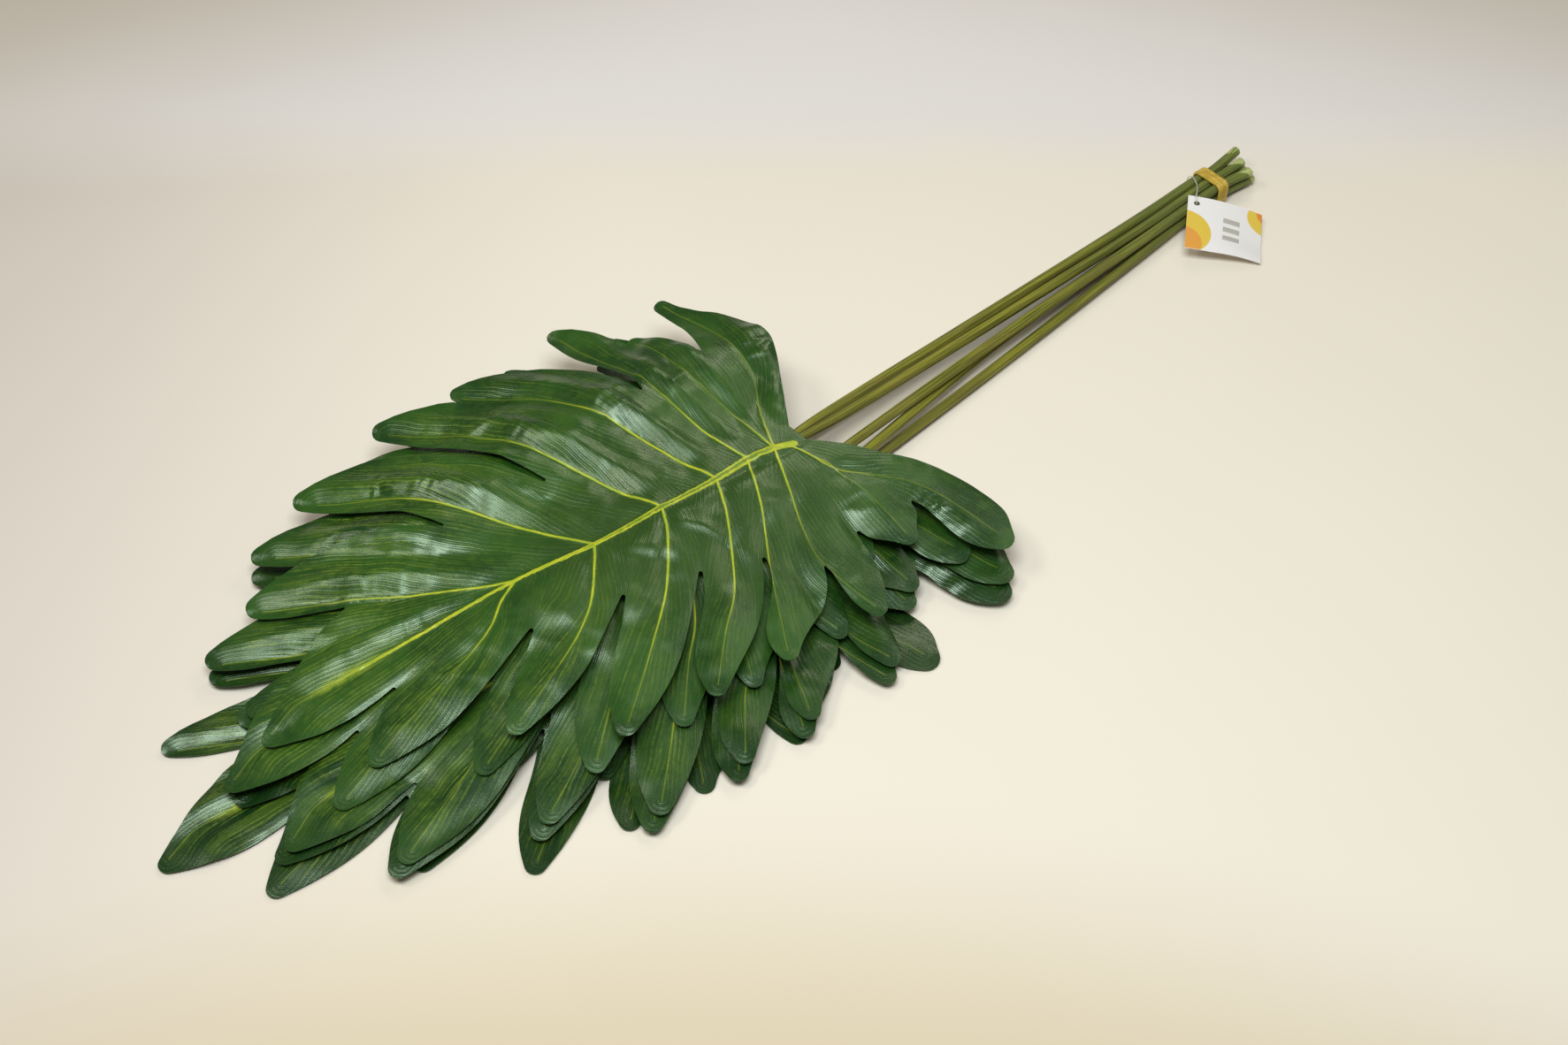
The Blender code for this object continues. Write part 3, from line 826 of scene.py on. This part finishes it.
def sheet(name, bottom, top, triangles):
    """A closed sheet between two skins, with its rim edges and the point at each face corner."""
    count = len(bottom)
    rim = rim_edges(triangles)
    sides = np.stack([rim[:, 0], rim[:, 1], rim[:, 1] + count, rim[:, 0] + count], 1)
    faces = (triangles + count).tolist() + triangles[:, ::-1].tolist() + sides.tolist()
    item = mesh_object(name, np.concatenate([bottom, top]), faces)
    corners = np.concatenate([triangles.ravel(), triangles[:, ::-1].ravel(), sides.ravel() % count])
    return item, rim, corners


class Pile:
    """Top of what already lies in the pile, on a grid of its own plan."""

    def __init__(self):
        self.height = np.zeros(PILE_CELLS)

    def add(self, s, t, z, triangles):
        spots = np.stack([s, t, z], -1)
        corner = spots[triangles]
        middles = (corner + np.roll(corner, 1, 1)) / 2
        every = np.concatenate([spots, corner.mean(1), middles.reshape(-1, 3)])
        cells = ((every[:, :2] - PILE_LOW) / PILE_CELL).astype(int)
        i, j = np.clip(cells, 0, np.array(PILE_CELLS) - 1).T
        np.maximum.at(self.height, (i, j), every[:, 2])

    def support(self, s, t):
        """Height that a leaf laid over these places rests on, widened and smoothed."""
        rows, columns = PILE_CELLS
        field = self.height
        for combine in [np.max] * (PILE_REACH + PILE_SMOOTH) + [np.mean] * PILE_SMOOTH:
            wide = np.pad(field, 1, mode="edge")
            field = combine([wide[i : i + rows, j : j + columns] for i in range(3) for j in range(3)], 0)
        x = (s - PILE_LOW[0]) / PILE_CELL - 0.5
        y = (t - PILE_LOW[1]) / PILE_CELL - 0.5
        return between_cells(field, x, y)


def hidden_share(layer, s, t, outline):
    """1 where the leaves above cover a spot well inside their edges, 0 where it is in view."""
    outline = outline[::3]
    closed = np.concatenate([outline, outline[:1]])
    cover = np.zeros(len(s))
    for base_s, base_t, turn, far_width in LEAVES[layer + 1 :]:
        a, b = turned(s - base_s, t - base_t, -turn)
        plan = np.stack([a, np.where(b < 0, b / far_width, b)], -1)
        depth = np.abs(along_curve(plan, closed)[1])
        cover = np.maximum(cover, np.where(inside(plan, outline), smoothstep(1.0, 13.0, depth), 0.0))
    return cover


def stem_clear(s, t):
    """0 over the stems and 1 away from them, in plan."""
    spots = np.stack([s, t], -1)
    gap = np.full(len(s), FAR_AWAY)
    for layer in range(len(LEAVES)):
        line = stem_line(layer)
        plan = np.stack(turned(line[:, 0], line[:, 1], -TOP_LEAF_TURN), -1)
        gap = np.minimum(gap, np.abs(along_curve(spots, plan)[1]))
    return smoothstep(5.0, 17.0, gap)


def blade_heights(layer, plan, pile):
    """Underside of one leaf: the drape with its relief, kept above what lies below it."""
    s, t = leaf_to_pile(layer, plan.points)
    bumps, creases = relief(layer, plan)
    clear = stem_clear(s, t)
    if layer == TOP_LAYER:
        bumps = np.where(bumps < 0, bumps * clear, bumps)
    else:
        open_share = clear * (1 - 0.85 * hidden_share(layer, s, t, plan.outline))
        bumps = bumps * open_share
        creases = creases * open_share
    wanted = under_height(layer, s, t) + 0.3 + bumps
    floor = pile.support(s, t) + PILE_CLEARANCE
    lift = (wanted - floor) / PILE_SOFTNESS
    z = floor + PILE_SOFTNESS * np.logaddexp(0.0, lift) + creases
    return s, t, z


def build_blade(layer, plan, upper, under, pile):
    s, t, z = blade_heights(layer, plan, pile)
    pile.add(s, t, z + BLADE_THICKNESS, plan.triangles)
    triangles = turned_alike(plan.points, plan.triangles)
    bottom = to_bundle(s, t, z)
    top = to_bundle(s, t, z + BLADE_THICKNESS)
    item, rim, corners = sheet("leaf_%d" % (layer + 1), bottom, top, triangles)
    edge_vein = np.argmin(np.abs(plan.v[rim[:, 0]]), 1)
    edge_side = plan.v[rim[:, 0], edge_vein] > 0
    veins = np.concatenate([np.repeat(plan.face_vein, 3)] * 2 + [np.repeat(edge_vein, 4)])
    sides = np.concatenate([np.repeat(plan.face_side, 3)] * 2 + [np.repeat(edge_side, 4)])
    strength = np.array([start for points, start, end in SIDE_VEINS])[veins]
    reach = np.array([end for points, start, end in SIDE_VEINS])[veins]
    u = plan.u[corners, veins]
    away = np.abs(plan.v[corners, veins])
    corner_attribute(item, "vein", u, away, u / plan.lengths[veins])
    corner_attribute(item, "kind", veins + 0.5 * sides, strength, reach)
    corner_attribute(item, "rib", np.abs(plan.rib_v[corners]), plan.edge[corners], 0.0)
    corner_attribute(item, "plan", *plan.points[corners].T, float(layer))
    dress(item, "blade_%d" % (layer + 1), upper)
    item.data.materials.append(under)
    slots = np.zeros(len(item.data.polygons), np.int32)
    slots[len(triangles) :] = 1
    item.data.polygons.foreach_set("material_index", slots)


def blade_material(name):
    """Printed leaf fabric: mottled green, fine broken lines along the lobes, bright veins."""
    n = Nodes(name)
    a, b, layer = n.attribute("plan")
    u, off, along = n.attribute("vein")
    vein_side, strength, reach = n.attribute("kind")
    rib_off, edge = n.attribute("rib")[:2]
    seed = layer * 31.0
    place = n.vector(a, b, seed)

    # Mottled ground: a dull grey green in the middle of the leaf, fresher toward the lobes,
    # and painted shade that darkens each leaf further from the top leaf down.
    broad = n.noise(place, 0.022, 3.0, 0.55)
    small = n.noise(place, 0.16, 4.0, 0.65)
    ragged = n.noise(place, 0.32, 2.0, 0.6)
    ground = n.mix(n.ramp(broad, 0.38, 0.64), *LEAF_GROUND)
    ground = n.mix(n.ramp(small, 0.45, 0.72, 0.0, 0.40), ground, LEAF_FLECK)
    from_middle = ((a - 70.0) / 130.0) ** 2.0 + ((b - 20.0) / 75.0) ** 2.0
    ground = n.mix(n.ramp(from_middle, 1.1, 0.15, 0.0, 0.8), ground, LEAF_DULL)
    ground = n.mix(n.ramp(layer, 5.0, 1.0, 0.0, 0.70, smooth=False), ground, LEAF_PAINTED_SHADE)

    # Lines leave each vein at a slant, run along the lobe and come and go.
    slant = u * (0.30 - along * 0.14)
    sway = (n.noise(place, 0.04, 1.0, 0.5) - 0.5) * 4.0
    lane = off - slant + sway
    shift = vein_side * 17.0 + seed
    threads, height = n.threads(lane, u, shift, 2.6, 0.25)
    fine_threads, fine_height = n.threads(lane, u, shift + 5.3, 1.2, 0.34)
    wide = n.noise(n.vector(lane * 0.13, u * 0.018, shift), 1.0, 1.0, 0.4)
    outer = n.ramp(a, 40.0, 230.0, 0.32, 1.0) * n.ramp(along, 0.10, 0.6, 0.40, 1.0)
    amount = outer * (n.ramp(edge, 0.5, 9.0, 0.45, 1.0) * n.ramp(b, 30.0, -60.0, 0.8, 1.0))
    amount = amount * n.ramp(along, 0.99, 0.86, 0.25, 1.0)
    blotch = n.ramp(wide + small * 0.45, 0.64, 0.92) * amount
    colour = n.mix(blotch * 0.55, ground, LEAF_BLOTCH)
    lines = n.math("MAXIMUM", threads, fine_threads * 0.55)
    lines = lines * (amount * n.ramp(ragged, 0.35, 0.60, 0.30, 0.80))
    colour = n.mix(lines, colour, LEAF_LINES)

    # Side veins: a bright tapering line with a soft pale border.
    left = n.ramp(along, 0.0, reach, 1.0, 0.0, smooth=False)
    jag = (ragged - 0.5) * 1.5
    width = (left * 0.52 + 0.20) * n.ramp(strength, 0.4, 1.0, 0.8, 1.05)
    line = n.ramp(off + jag * width, width + 0.35, width * 0.6)
    fade = n.ramp(along, reach, reach - 0.50, 0.22, 1.0)
    halo = n.ramp(off, 3.0, 0.4, 0.0, 0.35) * (fade * strength)
    colour = n.mix(halo, colour, VEIN_HALO)
    bright = n.ramp(small, 0.35, 0.65)
    colour = n.mix(line * fade, colour, n.mix(bright, *VEIN_TONES))

    # Midrib: two bright lines with an olive one between them, which close up toward the tip; the olive
    # line is painted shade along the raised rib.
    rib_width = n.ramp(a, -5.0, 210.0, 2.5, 0.95, smooth=False)
    rib_far = rib_off + jag * 1.2
    rib_line = n.ramp(rib_far, rib_width + 0.35, rib_width * 0.78) * n.ramp(a, 318.0, 270.0)
    rib_shade = n.ramp(rib_far, rib_width * 0.62, rib_width * 0.20)
    rib_shade = rib_shade * n.ramp(a, 170.0, 90.0, 0.0, 0.85) * n.ramp(a, 2.0, 14.0)
    rib_tone = n.mix(rib_shade, n.mix(bright, *RIB_TONES), RIB_PAINTED_SHADE)
    colour = n.mix(rib_line, colour, rib_tone)
    from_flare = ((a - 288.0) / 28.0) ** 2.0 + (rib_off / 5.0) ** 2.0
    flare = n.ramp(from_flare, 1.0, 0.0, 0.0, 0.8) * n.ramp(lines + small * 0.8, 0.25, 0.60, 0.10, 1.0)
    n.feed("Base Color", n.mix(flare, colour, RIB_FLARE))

    # Woven cloth under a thin coat, with the printed lines slightly raised.
    weave = n.noise(n.vector(a * 2.6, b * 1.1, 0.0), 1.0, 2.0, 0.6)
    weave_cross = n.noise(n.vector(a * 1.1, b * 2.6, 4.0), 1.0, 2.0, 0.6)
    cloth = weave + weave_cross
    grain = n.bump(cloth, 0.00005)
    n.feed("Normal", n.bump(height + fine_height * 0.5, 0.000042, grain))
    n.feed("Roughness", n.ramp(cloth + broad, 1.2, 1.8, 0.21, 0.34, smooth=False))
    n.feed("Specular IOR Level", 0.92)
    n.feed("Specular Tint", LEAF_SHEEN)
    return n.material


def underside_material(name):
    """Plain duller cloth for the backs and the cut edges."""
    n = Nodes(name)
    a, b, layer = n.attribute("plan")
    cloud = n.noise(n.vector(a, b, layer), 0.05, 3.0, 0.6)
    thread = n.noise(n.vector(a * 2.2, b * 0.9, layer), 1.0, 2.0, 0.6)
    colour = n.mix(n.ramp(cloud, 0.35, 0.65), *BACK_TONES)
    n.feed("Base Color", n.mix(n.ramp(thread, 0.45, 0.7, 0.0, 0.4), colour, BACK_THREAD))
    n.feed("Normal", n.bump(thread, 0.0002))
    n.feed("Roughness", 0.6)
    return n.material


def ring_faces(rings, sides, closed, flip=False):
    """Faces between equal rings of points, one ring after another."""
    faces = []
    for k in range(rings if closed else rings - 1):
        n = (k + 1) % rings
        for j in range(sides):
            m = (j + 1) % sides
            first, second = k * sides + j, k * sides + m
            third, fourth = n * sides + m, n * sides + j
            faces.append((first, fourth, third, second) if flip else (first, second, third, fourth))
    return faces


def tube(path, radii, sides, closed, cut=0.0, ribs=None):
    """A round tube along a path, with its place along and round it; cut slopes its first end."""
    path = np.asarray(path, float)
    count = len(path)
    if closed:
        tangents = np.roll(path, -1, 0) - np.roll(path, 1, 0)
        outward = path - path.mean(0)
    else:
        tangents = np.gradient(path, axis=0)
        outward = np.tile(np.array([0.0, 0.0, 1.0]), (count, 1))
    tangents /= np.linalg.norm(tangents, axis=1)[:, None]
    side = np.cross(tangents, outward)
    side /= np.linalg.norm(side, axis=1)[:, None]
    outward = np.cross(side, tangents)
    angles = np.arange(sides) * 2 * math.pi / sides
    verts = []
    for k in range(count):
        size = radii[k]
        if ribs is not None:
            size = size * (1 + ribs(k, angles))
        ring = (size * np.cos(angles))[:, None] * outward[k] + (size * np.sin(angles))[:, None] * side[k]
        ring = path[k] + ring
        if k == 0 and cut:
            slope = cut * radii[k] * (np.cos(angles) + 0.45 * np.sin(2 * angles))
            slope -= slope.min() + CUT_START * radii[k]
            ring = ring + np.outer(slope, tangents[k])
        verts.append(ring)
    lengths = np.concatenate([[0], np.cumsum(np.linalg.norm(np.diff(path, axis=0), axis=1))])
    places = np.repeat(lengths, sides)
    return np.concatenate(verts), ring_faces(count, sides, closed), places, np.tile(angles, count)


def stem_line(layer):
    """Centre line and diameter of one stem, from its cut end to its place under the leaf."""
    cut_end, in_band, *others = STEM_PATHS[layer]
    stations = zip(STEM_STATIONS, (in_band, in_band, *others[:2]))
    points = [(*cut_end, STEM_DIAMETER)] + [(x, *place, STEM_DIAMETER) for x, place in stations]
    points += others[2:]
    for reach in (-2.0, STEM_UNDER_BLADE):
        s, t = leaf_to_pile(layer, np.array([[reach, 0.0]]))
        z = under_height(layer, s, t) - SEAT_GAP - STEM_END_DIAMETER / 2 - 0.4
        points.append((*to_bundle(s, t, z)[0], STEM_END_DIAMETER))
    return smooth_curve(points, STEM_STEPS)


def build_stem(layer, material):
    line = stem_line(layer)

    def ribs(k, angles):
        twist = 0.5 * layer + 0.004 * k
        wave = 0.5 + 0.5 * np.cos(STEM_RIBS * (angles + twist))
        return -0.075 * wave**3 - 0.012 * (1 + np.sin(3 * (angles + twist)))

    swell = 0.01 * lumps(np.arange(len(line)), 0.0, 9.0, 40 + layer)
    radii = line[:, 3] / 2 * (0.985 + swell)
    verts, faces, places, turns = tube(line[:, :3], radii, STEM_SIDES, False, CUT_SLOPE, ribs)
    start = verts[:STEM_SIDES].mean(0) + np.array([CUT_BULGE, 0, 0])
    end = verts[-STEM_SIDES:].mean(0)
    first = len(verts)
    sides = len(faces)
    verts = np.concatenate([verts, [start, end]])
    places = np.concatenate([places, [places[0], places[-1]]])
    turns = np.concatenate([turns, [0.0, 0.0]])
    for j in range(STEM_SIDES):
        m = (j + 1) % STEM_SIDES
        faces.append((first, m, j))
        faces.append((first + 1, first - STEM_SIDES + j, first - STEM_SIDES + m))
    item = mesh_object("stalk_%d" % (layer + 1), verts, faces, 70.0)
    corners = np.concatenate([np.ravel(f) for f in faces])
    cut_face = np.concatenate([np.full(len(f), float(k >= sides)) for k, f in enumerate(faces)])
    corner_attribute(item, "stem", places[corners], np.cos(turns[corners]), np.sin(turns[corners]))
    corner_attribute(item, "cut", cut_face, float(layer), 0.0)
    dress(item, "stem_%d" % (layer + 1), material)


def stem_material(name):
    """Olive coated stems with long streaks, dull brown stretches and pale cut ends."""
    n = Nodes(name)
    along, round_x, round_y = n.attribute("stem")
    cut, layer = n.attribute("cut")[:2]
    seed = layer * 23.0
    streak = n.noise(n.vector(along * 0.012 + seed, round_x * 2.4, round_y * 2.4), 1.0, 4.0, 0.65)
    thread = n.noise(n.vector(along * 0.03 + seed, round_x * 7.0, round_y * 7.0), 1.0, 3.0, 0.6)
    cloud = n.noise(n.vector(along * 0.018 + seed, round_x, round_y), 1.0, 2.0, 0.5)
    speck = n.noise(n.vector(along * 0.25, round_x * 3.0, round_y * 3.0), 1.0, 2.0, 0.5)
    colour = n.mix(n.ramp(streak, 0.36, 0.64), *STEM_COAT)
    for amount, tone in (
        (n.ramp(cloud, 0.46, 0.68, 0.0, 0.75), STEM_BROWN),
        (n.ramp(thread, 0.54, 0.72, 0.0, 0.55), STEM_PALE_STREAK),
        (n.ramp(thread, 0.44, 0.28, 0.0, 0.6), STEM_DARK_STREAK),
        (n.ramp(speck, 0.70, 0.78, 0.0, 0.6), STEM_SPECK),
        (n.ramp(along, 230.0, 60.0, 0.0, 0.55), STEM_GREEN),
        (n.ramp(along, 26.0, 0.0, 0.0, 0.55), STEM_FRESH),
        (n.ramp(along, 5.5, 0.5, 0.0, 0.85), STEM_END),
        (cut, STEM_CUT),
    ):
        colour = n.mix(amount, colour, tone)
    n.feed("Base Color", colour)
    n.feed("Normal", n.bump(thread + streak, 0.0006))
    n.feed("Roughness", n.ramp(streak, 0.3, 0.7, 0.38, 0.55))
    n.feed("Specular IOR Level", 0.25)
    return n.material


def build_band(material):
    """Three turns of a flat rubber band, each rounded, with a slight slant."""
    cx, cy, cz = BAND_CENTRE
    width = BAND_TURNS * BAND_TURN_WIDTH
    profile = []
    for k in range(BAND_TURNS):
        shares = np.linspace(0, 1, 9)[: None if k == BAND_TURNS - 1 else -1]
        lift = BAND_THICKNESS - BAND_GROOVE * np.abs(2 * shares - 1) ** 3.2
        profile += zip(-width / 2 + k * BAND_TURN_WIDTH + shares * BAND_TURN_WIDTH, lift)
    profile += [(width / 2, 0.0), (0.0, 0.0), (-width / 2, 0.0)]
    flat_y = BAND_HALF_Y - BAND_CORNER
    flat_z = BAND_HALF_Z - BAND_CORNER
    centres = np.array([(flat_y, flat_z), (-flat_y, flat_z), (-flat_y, -flat_z), (flat_y, -flat_z)])
    rings = []
    for x, lift in profile:
        radius = BAND_CORNER + lift
        parts = []
        for k, centre in enumerate(centres):
            parts.append(arc(centre, radius, 90 * k, 90 * k + 90, 10))
            for share in (0.2, 0.4, 0.6, 0.8):
                spot = centre * (1 - share) + centres[(k + 1) % 4] * share
                parts.append((spot + heading(90 * k + 90) * radius)[None])
        ring = np.concatenate(parts)
        angle = np.arctan2(ring[:, 1], ring[:, 0])
        lean = BAND_LEAN * np.sin(angle + 0.6) * (1 - (x / (width / 2)) ** 2)
        rings.append(np.stack([cx + x + lean, ring[:, 0] + cy, ring[:, 1] + cz], -1))
    faces = ring_faces(len(rings), len(rings[0]), True, flip=True)
    verts = np.concatenate(rings)
    item = mesh_object("band_turns", verts, faces, 60.0)
    corner_attribute(item, "plan", *verts[np.array(faces).ravel()].T)
    dress(item, "rubber_band", material)


def band_material(name):
    n = Nodes(name)
    x, y, z = n.attribute("plan")
    fine = n.noise(n.vector(x * 3.0, y * 0.5, z * 0.5), 1.0, 3.0, 0.6)
    cloud = n.noise(n.vector(x, y, z), 0.25, 2.0, 0.5)
    colour = n.mix(n.ramp(cloud, 0.35, 0.65), *BAND_TONES)
    n.feed("Base Color", n.mix(n.ramp(fine, 0.5, 0.7, 0.0, 0.35), colour, BAND_BLOOM))
    n.feed("Normal", n.bump(fine, 0.0003))
    n.feed("Roughness", 0.42)
    return n.material


def tag_point(u, v):
    across = np.array(TAG_ACROSS) / np.linalg.norm(TAG_ACROSS)
    down = np.array(TAG_DOWN) / np.linalg.norm(TAG_DOWN)
    point = np.array(TAG_CORNER) + np.outer(u, across) + np.outer(v, down)
    bend = TAG_BEND * np.sin(math.pi * u / TAG_WIDTH)
    curl = TAG_CURL * smoothstep(0.55, 1.0, v / TAG_LENGTH) * smoothstep(0.2, 1.0, u / TAG_WIDTH)
    point[:, 2] += bend + curl
    return point


def build_tag(material):
    hole = arc(np.array(TAG_HOLE), TAG_HOLE_RADIUS, 0, 360, 32)[:-1]
    steps = np.arange(TAG_ROWS) / TAG_ROWS
    rim = [(TAG_WIDTH * k, 0.0) for k in steps]
    rim += [(TAG_WIDTH, TAG_LENGTH * k) for k in steps]
    rim += [(TAG_WIDTH * (1 - k), TAG_LENGTH) for k in steps]
    rim += [(0.0, TAG_LENGTH * (1 - k)) for k in steps]
    inner = []
    for i in range(1, TAG_ROWS):
        for j in range(1, TAG_ROWS):
            p = (TAG_WIDTH * i / TAG_ROWS, TAG_LENGTH * j / TAG_ROWS)
            if math.dist(p, TAG_HOLE) > TAG_HOLE_RADIUS + 0.6:
                inner.append(p)
    points = [Vector(p) for p in rim + inner] + [Vector(p) for p in hole]
    first = len(rim) + len(inner)
    edges = [(k, (k + 1) % len(rim)) for k in range(len(rim))]
    edges += [(first + k, first + (k + 1) % len(hole)) for k in range(len(hole))]
    result = geometry.delaunay_2d_cdt(points, edges, [], 0, 1e-5)
    flat = np.array([tuple(v) for v in result[0]])
    in_hole = 0.95 * TAG_HOLE_RADIUS
    triangles = np.array([f for f in result[2] if math.dist(flat[list(f)].mean(0), TAG_HOLE) > in_hole])
    triangles = turned_alike(flat, triangles, np.cross(TAG_ACROSS, TAG_DOWN)[2])
    bottom = tag_point(flat[:, 0], flat[:, 1]) + np.array([0, 0, 0.05])
    top = bottom + np.array([0, 0, TAG_THICKNESS])
    item, _, corners = sheet("tag_card", bottom, top, triangles)
    printed = np.arange(len(corners)) < 3 * len(triangles)
    corner_attribute(item, "plan", *flat[corners].T, printed)
    dress(item, "hang_tag", material)


def tag_material(name):
    """White card with plain warm shapes and even grey bars."""
    n = Nodes(name)
    u, v, front = n.attribute("plan")

    def stretch(place, low, high):
        return n.ramp(place, low - 0.2, low + 0.2) * n.ramp(place, high + 0.2, high - 0.2)

    fibre = n.noise(n.vector(u, v, 0.0), 1.5, 3.0, 0.6)
    colour = n.mix(n.ramp(fibre, 0.3, 0.7), *CARD_TONES)
    for centre_u, centre_v, radius, tone in CARD_DISCS:
        away = n.math("SQRT", (u - centre_u) ** 2.0 + (v - centre_v) ** 2.0)
        colour = n.mix(n.ramp(away, radius + 0.5, radius - 0.5) * front, colour, tone)
    for k in range(CARD_BARS):
        bar = stretch(u, 26.0, 38.0) * stretch(v, 15.0 + 8.0 * k, 19.5 + 8.0 * k) * front
        colour = n.mix(bar * 0.8, colour, CARD_BAR)
    n.feed("Base Color", colour)
    n.feed("Normal", n.bump(fibre, 0.0001))
    n.feed("Roughness", 0.38)
    return n.material


def build_loop(material):
    line = smooth_curve(LOOP_PATH, LOOP_STEPS, closed=True)
    radii = np.full(len(line), LOOP_DIAMETER / 2)
    verts, faces = tube(line, radii, LOOP_SIDES, True)[:2]
    dress(mesh_object("clear_loop", verts, faces), "tag_loop", material)


def loop_material(name):
    n = Nodes(name)
    n.feed("Base Color", LOOP_COLOUR)
    n.feed("Roughness", 0.18)
    n.feed("Transmission Weight", 0.7)
    n.feed("IOR", 1.45)
    return n.material


def table_material(name):
    """Cream in front, with painted shade: warmer and darker nearest the camera, darker at the left and in
    the far corners, and a cooler grey far away.
    """
    n = Nodes(name)
    place = Wire(n, n.node("TexCoord").outputs["Object"])
    x, y = n.split(place)[:2]
    away = x * PICTURE_AWAY[0] + y * PICTURE_AWAY[1]
    aside = x * PICTURE_ASIDE[0] + y * PICTURE_ASIDE[1]
    spots = n.noise(place, 5.0, 3.0, 0.5)
    bow = away + (aside + 0.05) ** 2.0 * 0.5
    front = n.ramp(bow, -0.22, -0.42, 0.0, 0.72) * n.ramp(bow, -0.75, -0.42, 0.25, 1.0)
    line = away + (spots - 0.5) * 0.05
    sideways = n.math("MAXIMUM", aside * -0.5, aside * 0.35)
    # Painted shade over the cream: darker at the left, a darker warm band nearest the camera, a cooler
    # grey far away and darker far corners, for the light falling off.
    colour = n.mix(n.ramp(spots, 0.35, 0.7, 0.0, 0.35), FLOOR_NEAR, FLOOR_SPOT)
    colour = n.mix(n.ramp(aside, -0.1, -0.6, 0.0, 0.9), colour, FLOOR_LEFT_PAINTED_SHADE)
    colour = n.mix(front, colour, FLOOR_FRONT_PAINTED_SHADE)
    colour = n.mix(n.ramp(line, 0.27, 0.38, 0.0, 0.9), colour, FLOOR_FAR_PAINTED_SHADE)
    n.feed("Base Color", n.mix(n.ramp(sideways + line, 0.45, 0.85), colour, FLOOR_CORNER_PAINTED_SHADE))
    n.feed("Roughness", 0.8)
    n.feed("Specular IOR Level", 0.1)
    return n.material


def build_stage(material):
    """A wide pale table."""
    mesh = bpy.data.meshes.new("table")
    turns = ((-1, -1), (1, -1), (1, 1), (-1, 1))
    mesh.from_pydata([(TABLE_REACH * x, TABLE_REACH * y, 0) for x, y in turns], [], [(0, 1, 2, 3)])
    table = bpy.data.objects.new("table", mesh)
    bpy.context.scene.collection.objects.link(table)
    table.location.z = -TABLE_DROP
    mesh.materials.append(material)


def build_lights():
    for name, place, width, height, power, colour in LIGHTS:
        data = bpy.data.lights.new(name, "AREA")
        data.shape = "RECTANGLE"
        data.size = width
        data.size_y = height
        data.energy = power
        data.color = colour
        light = bpy.data.objects.new(name, data)
        light.location = place
        light.rotation_euler = (-Vector(place)).to_track_quat("-Z", "Y").to_euler()
        bpy.context.scene.collection.objects.link(light)
    world = bpy.data.worlds.new("studio")
    world.use_nodes = True
    background = world.node_tree.nodes["Background"]
    background.inputs["Color"].default_value = WORLD_COLOUR
    background.inputs["Strength"].default_value = WORLD_STRENGTH
    bpy.context.scene.world = world


def build_camera():
    data = bpy.data.cameras.new("camera")
    data.lens = CAMERA_LENS
    data.sensor_width = CAMERA_SENSOR
    data.sensor_fit = "HORIZONTAL"
    data.clip_start = 0.01
    camera = bpy.data.objects.new("camera", data)
    camera.location = CAMERA_PLACE
    camera.rotation_euler = Vector(CAMERA_FORWARD).to_track_quat("-Z", "Y").to_euler()
    bpy.context.scene.collection.objects.link(camera)
    bpy.context.scene.camera = camera


def main():
    bpy.context.scene.view_settings.view_transform = "Standard"
    top_plan = LeafPlan(TOP_GRID)
    lower_plan = LeafPlan(LOWER_GRID)
    upper = blade_material("printed_leaf")
    under = underside_material("leaf_back")
    stalk = stem_material("coated_stem")
    pile = Pile()
    for layer in range(len(LEAVES)):
        build_blade(layer, top_plan if layer == TOP_LAYER else lower_plan, upper, under, pile)
        build_stem(layer, stalk)
    build_band(band_material("band_rubber"))
    build_tag(tag_material("tag_print"))
    build_loop(loop_material("loop_plastic"))
    build_stage(table_material("table_top"))
    build_lights()
    build_camera()


main()
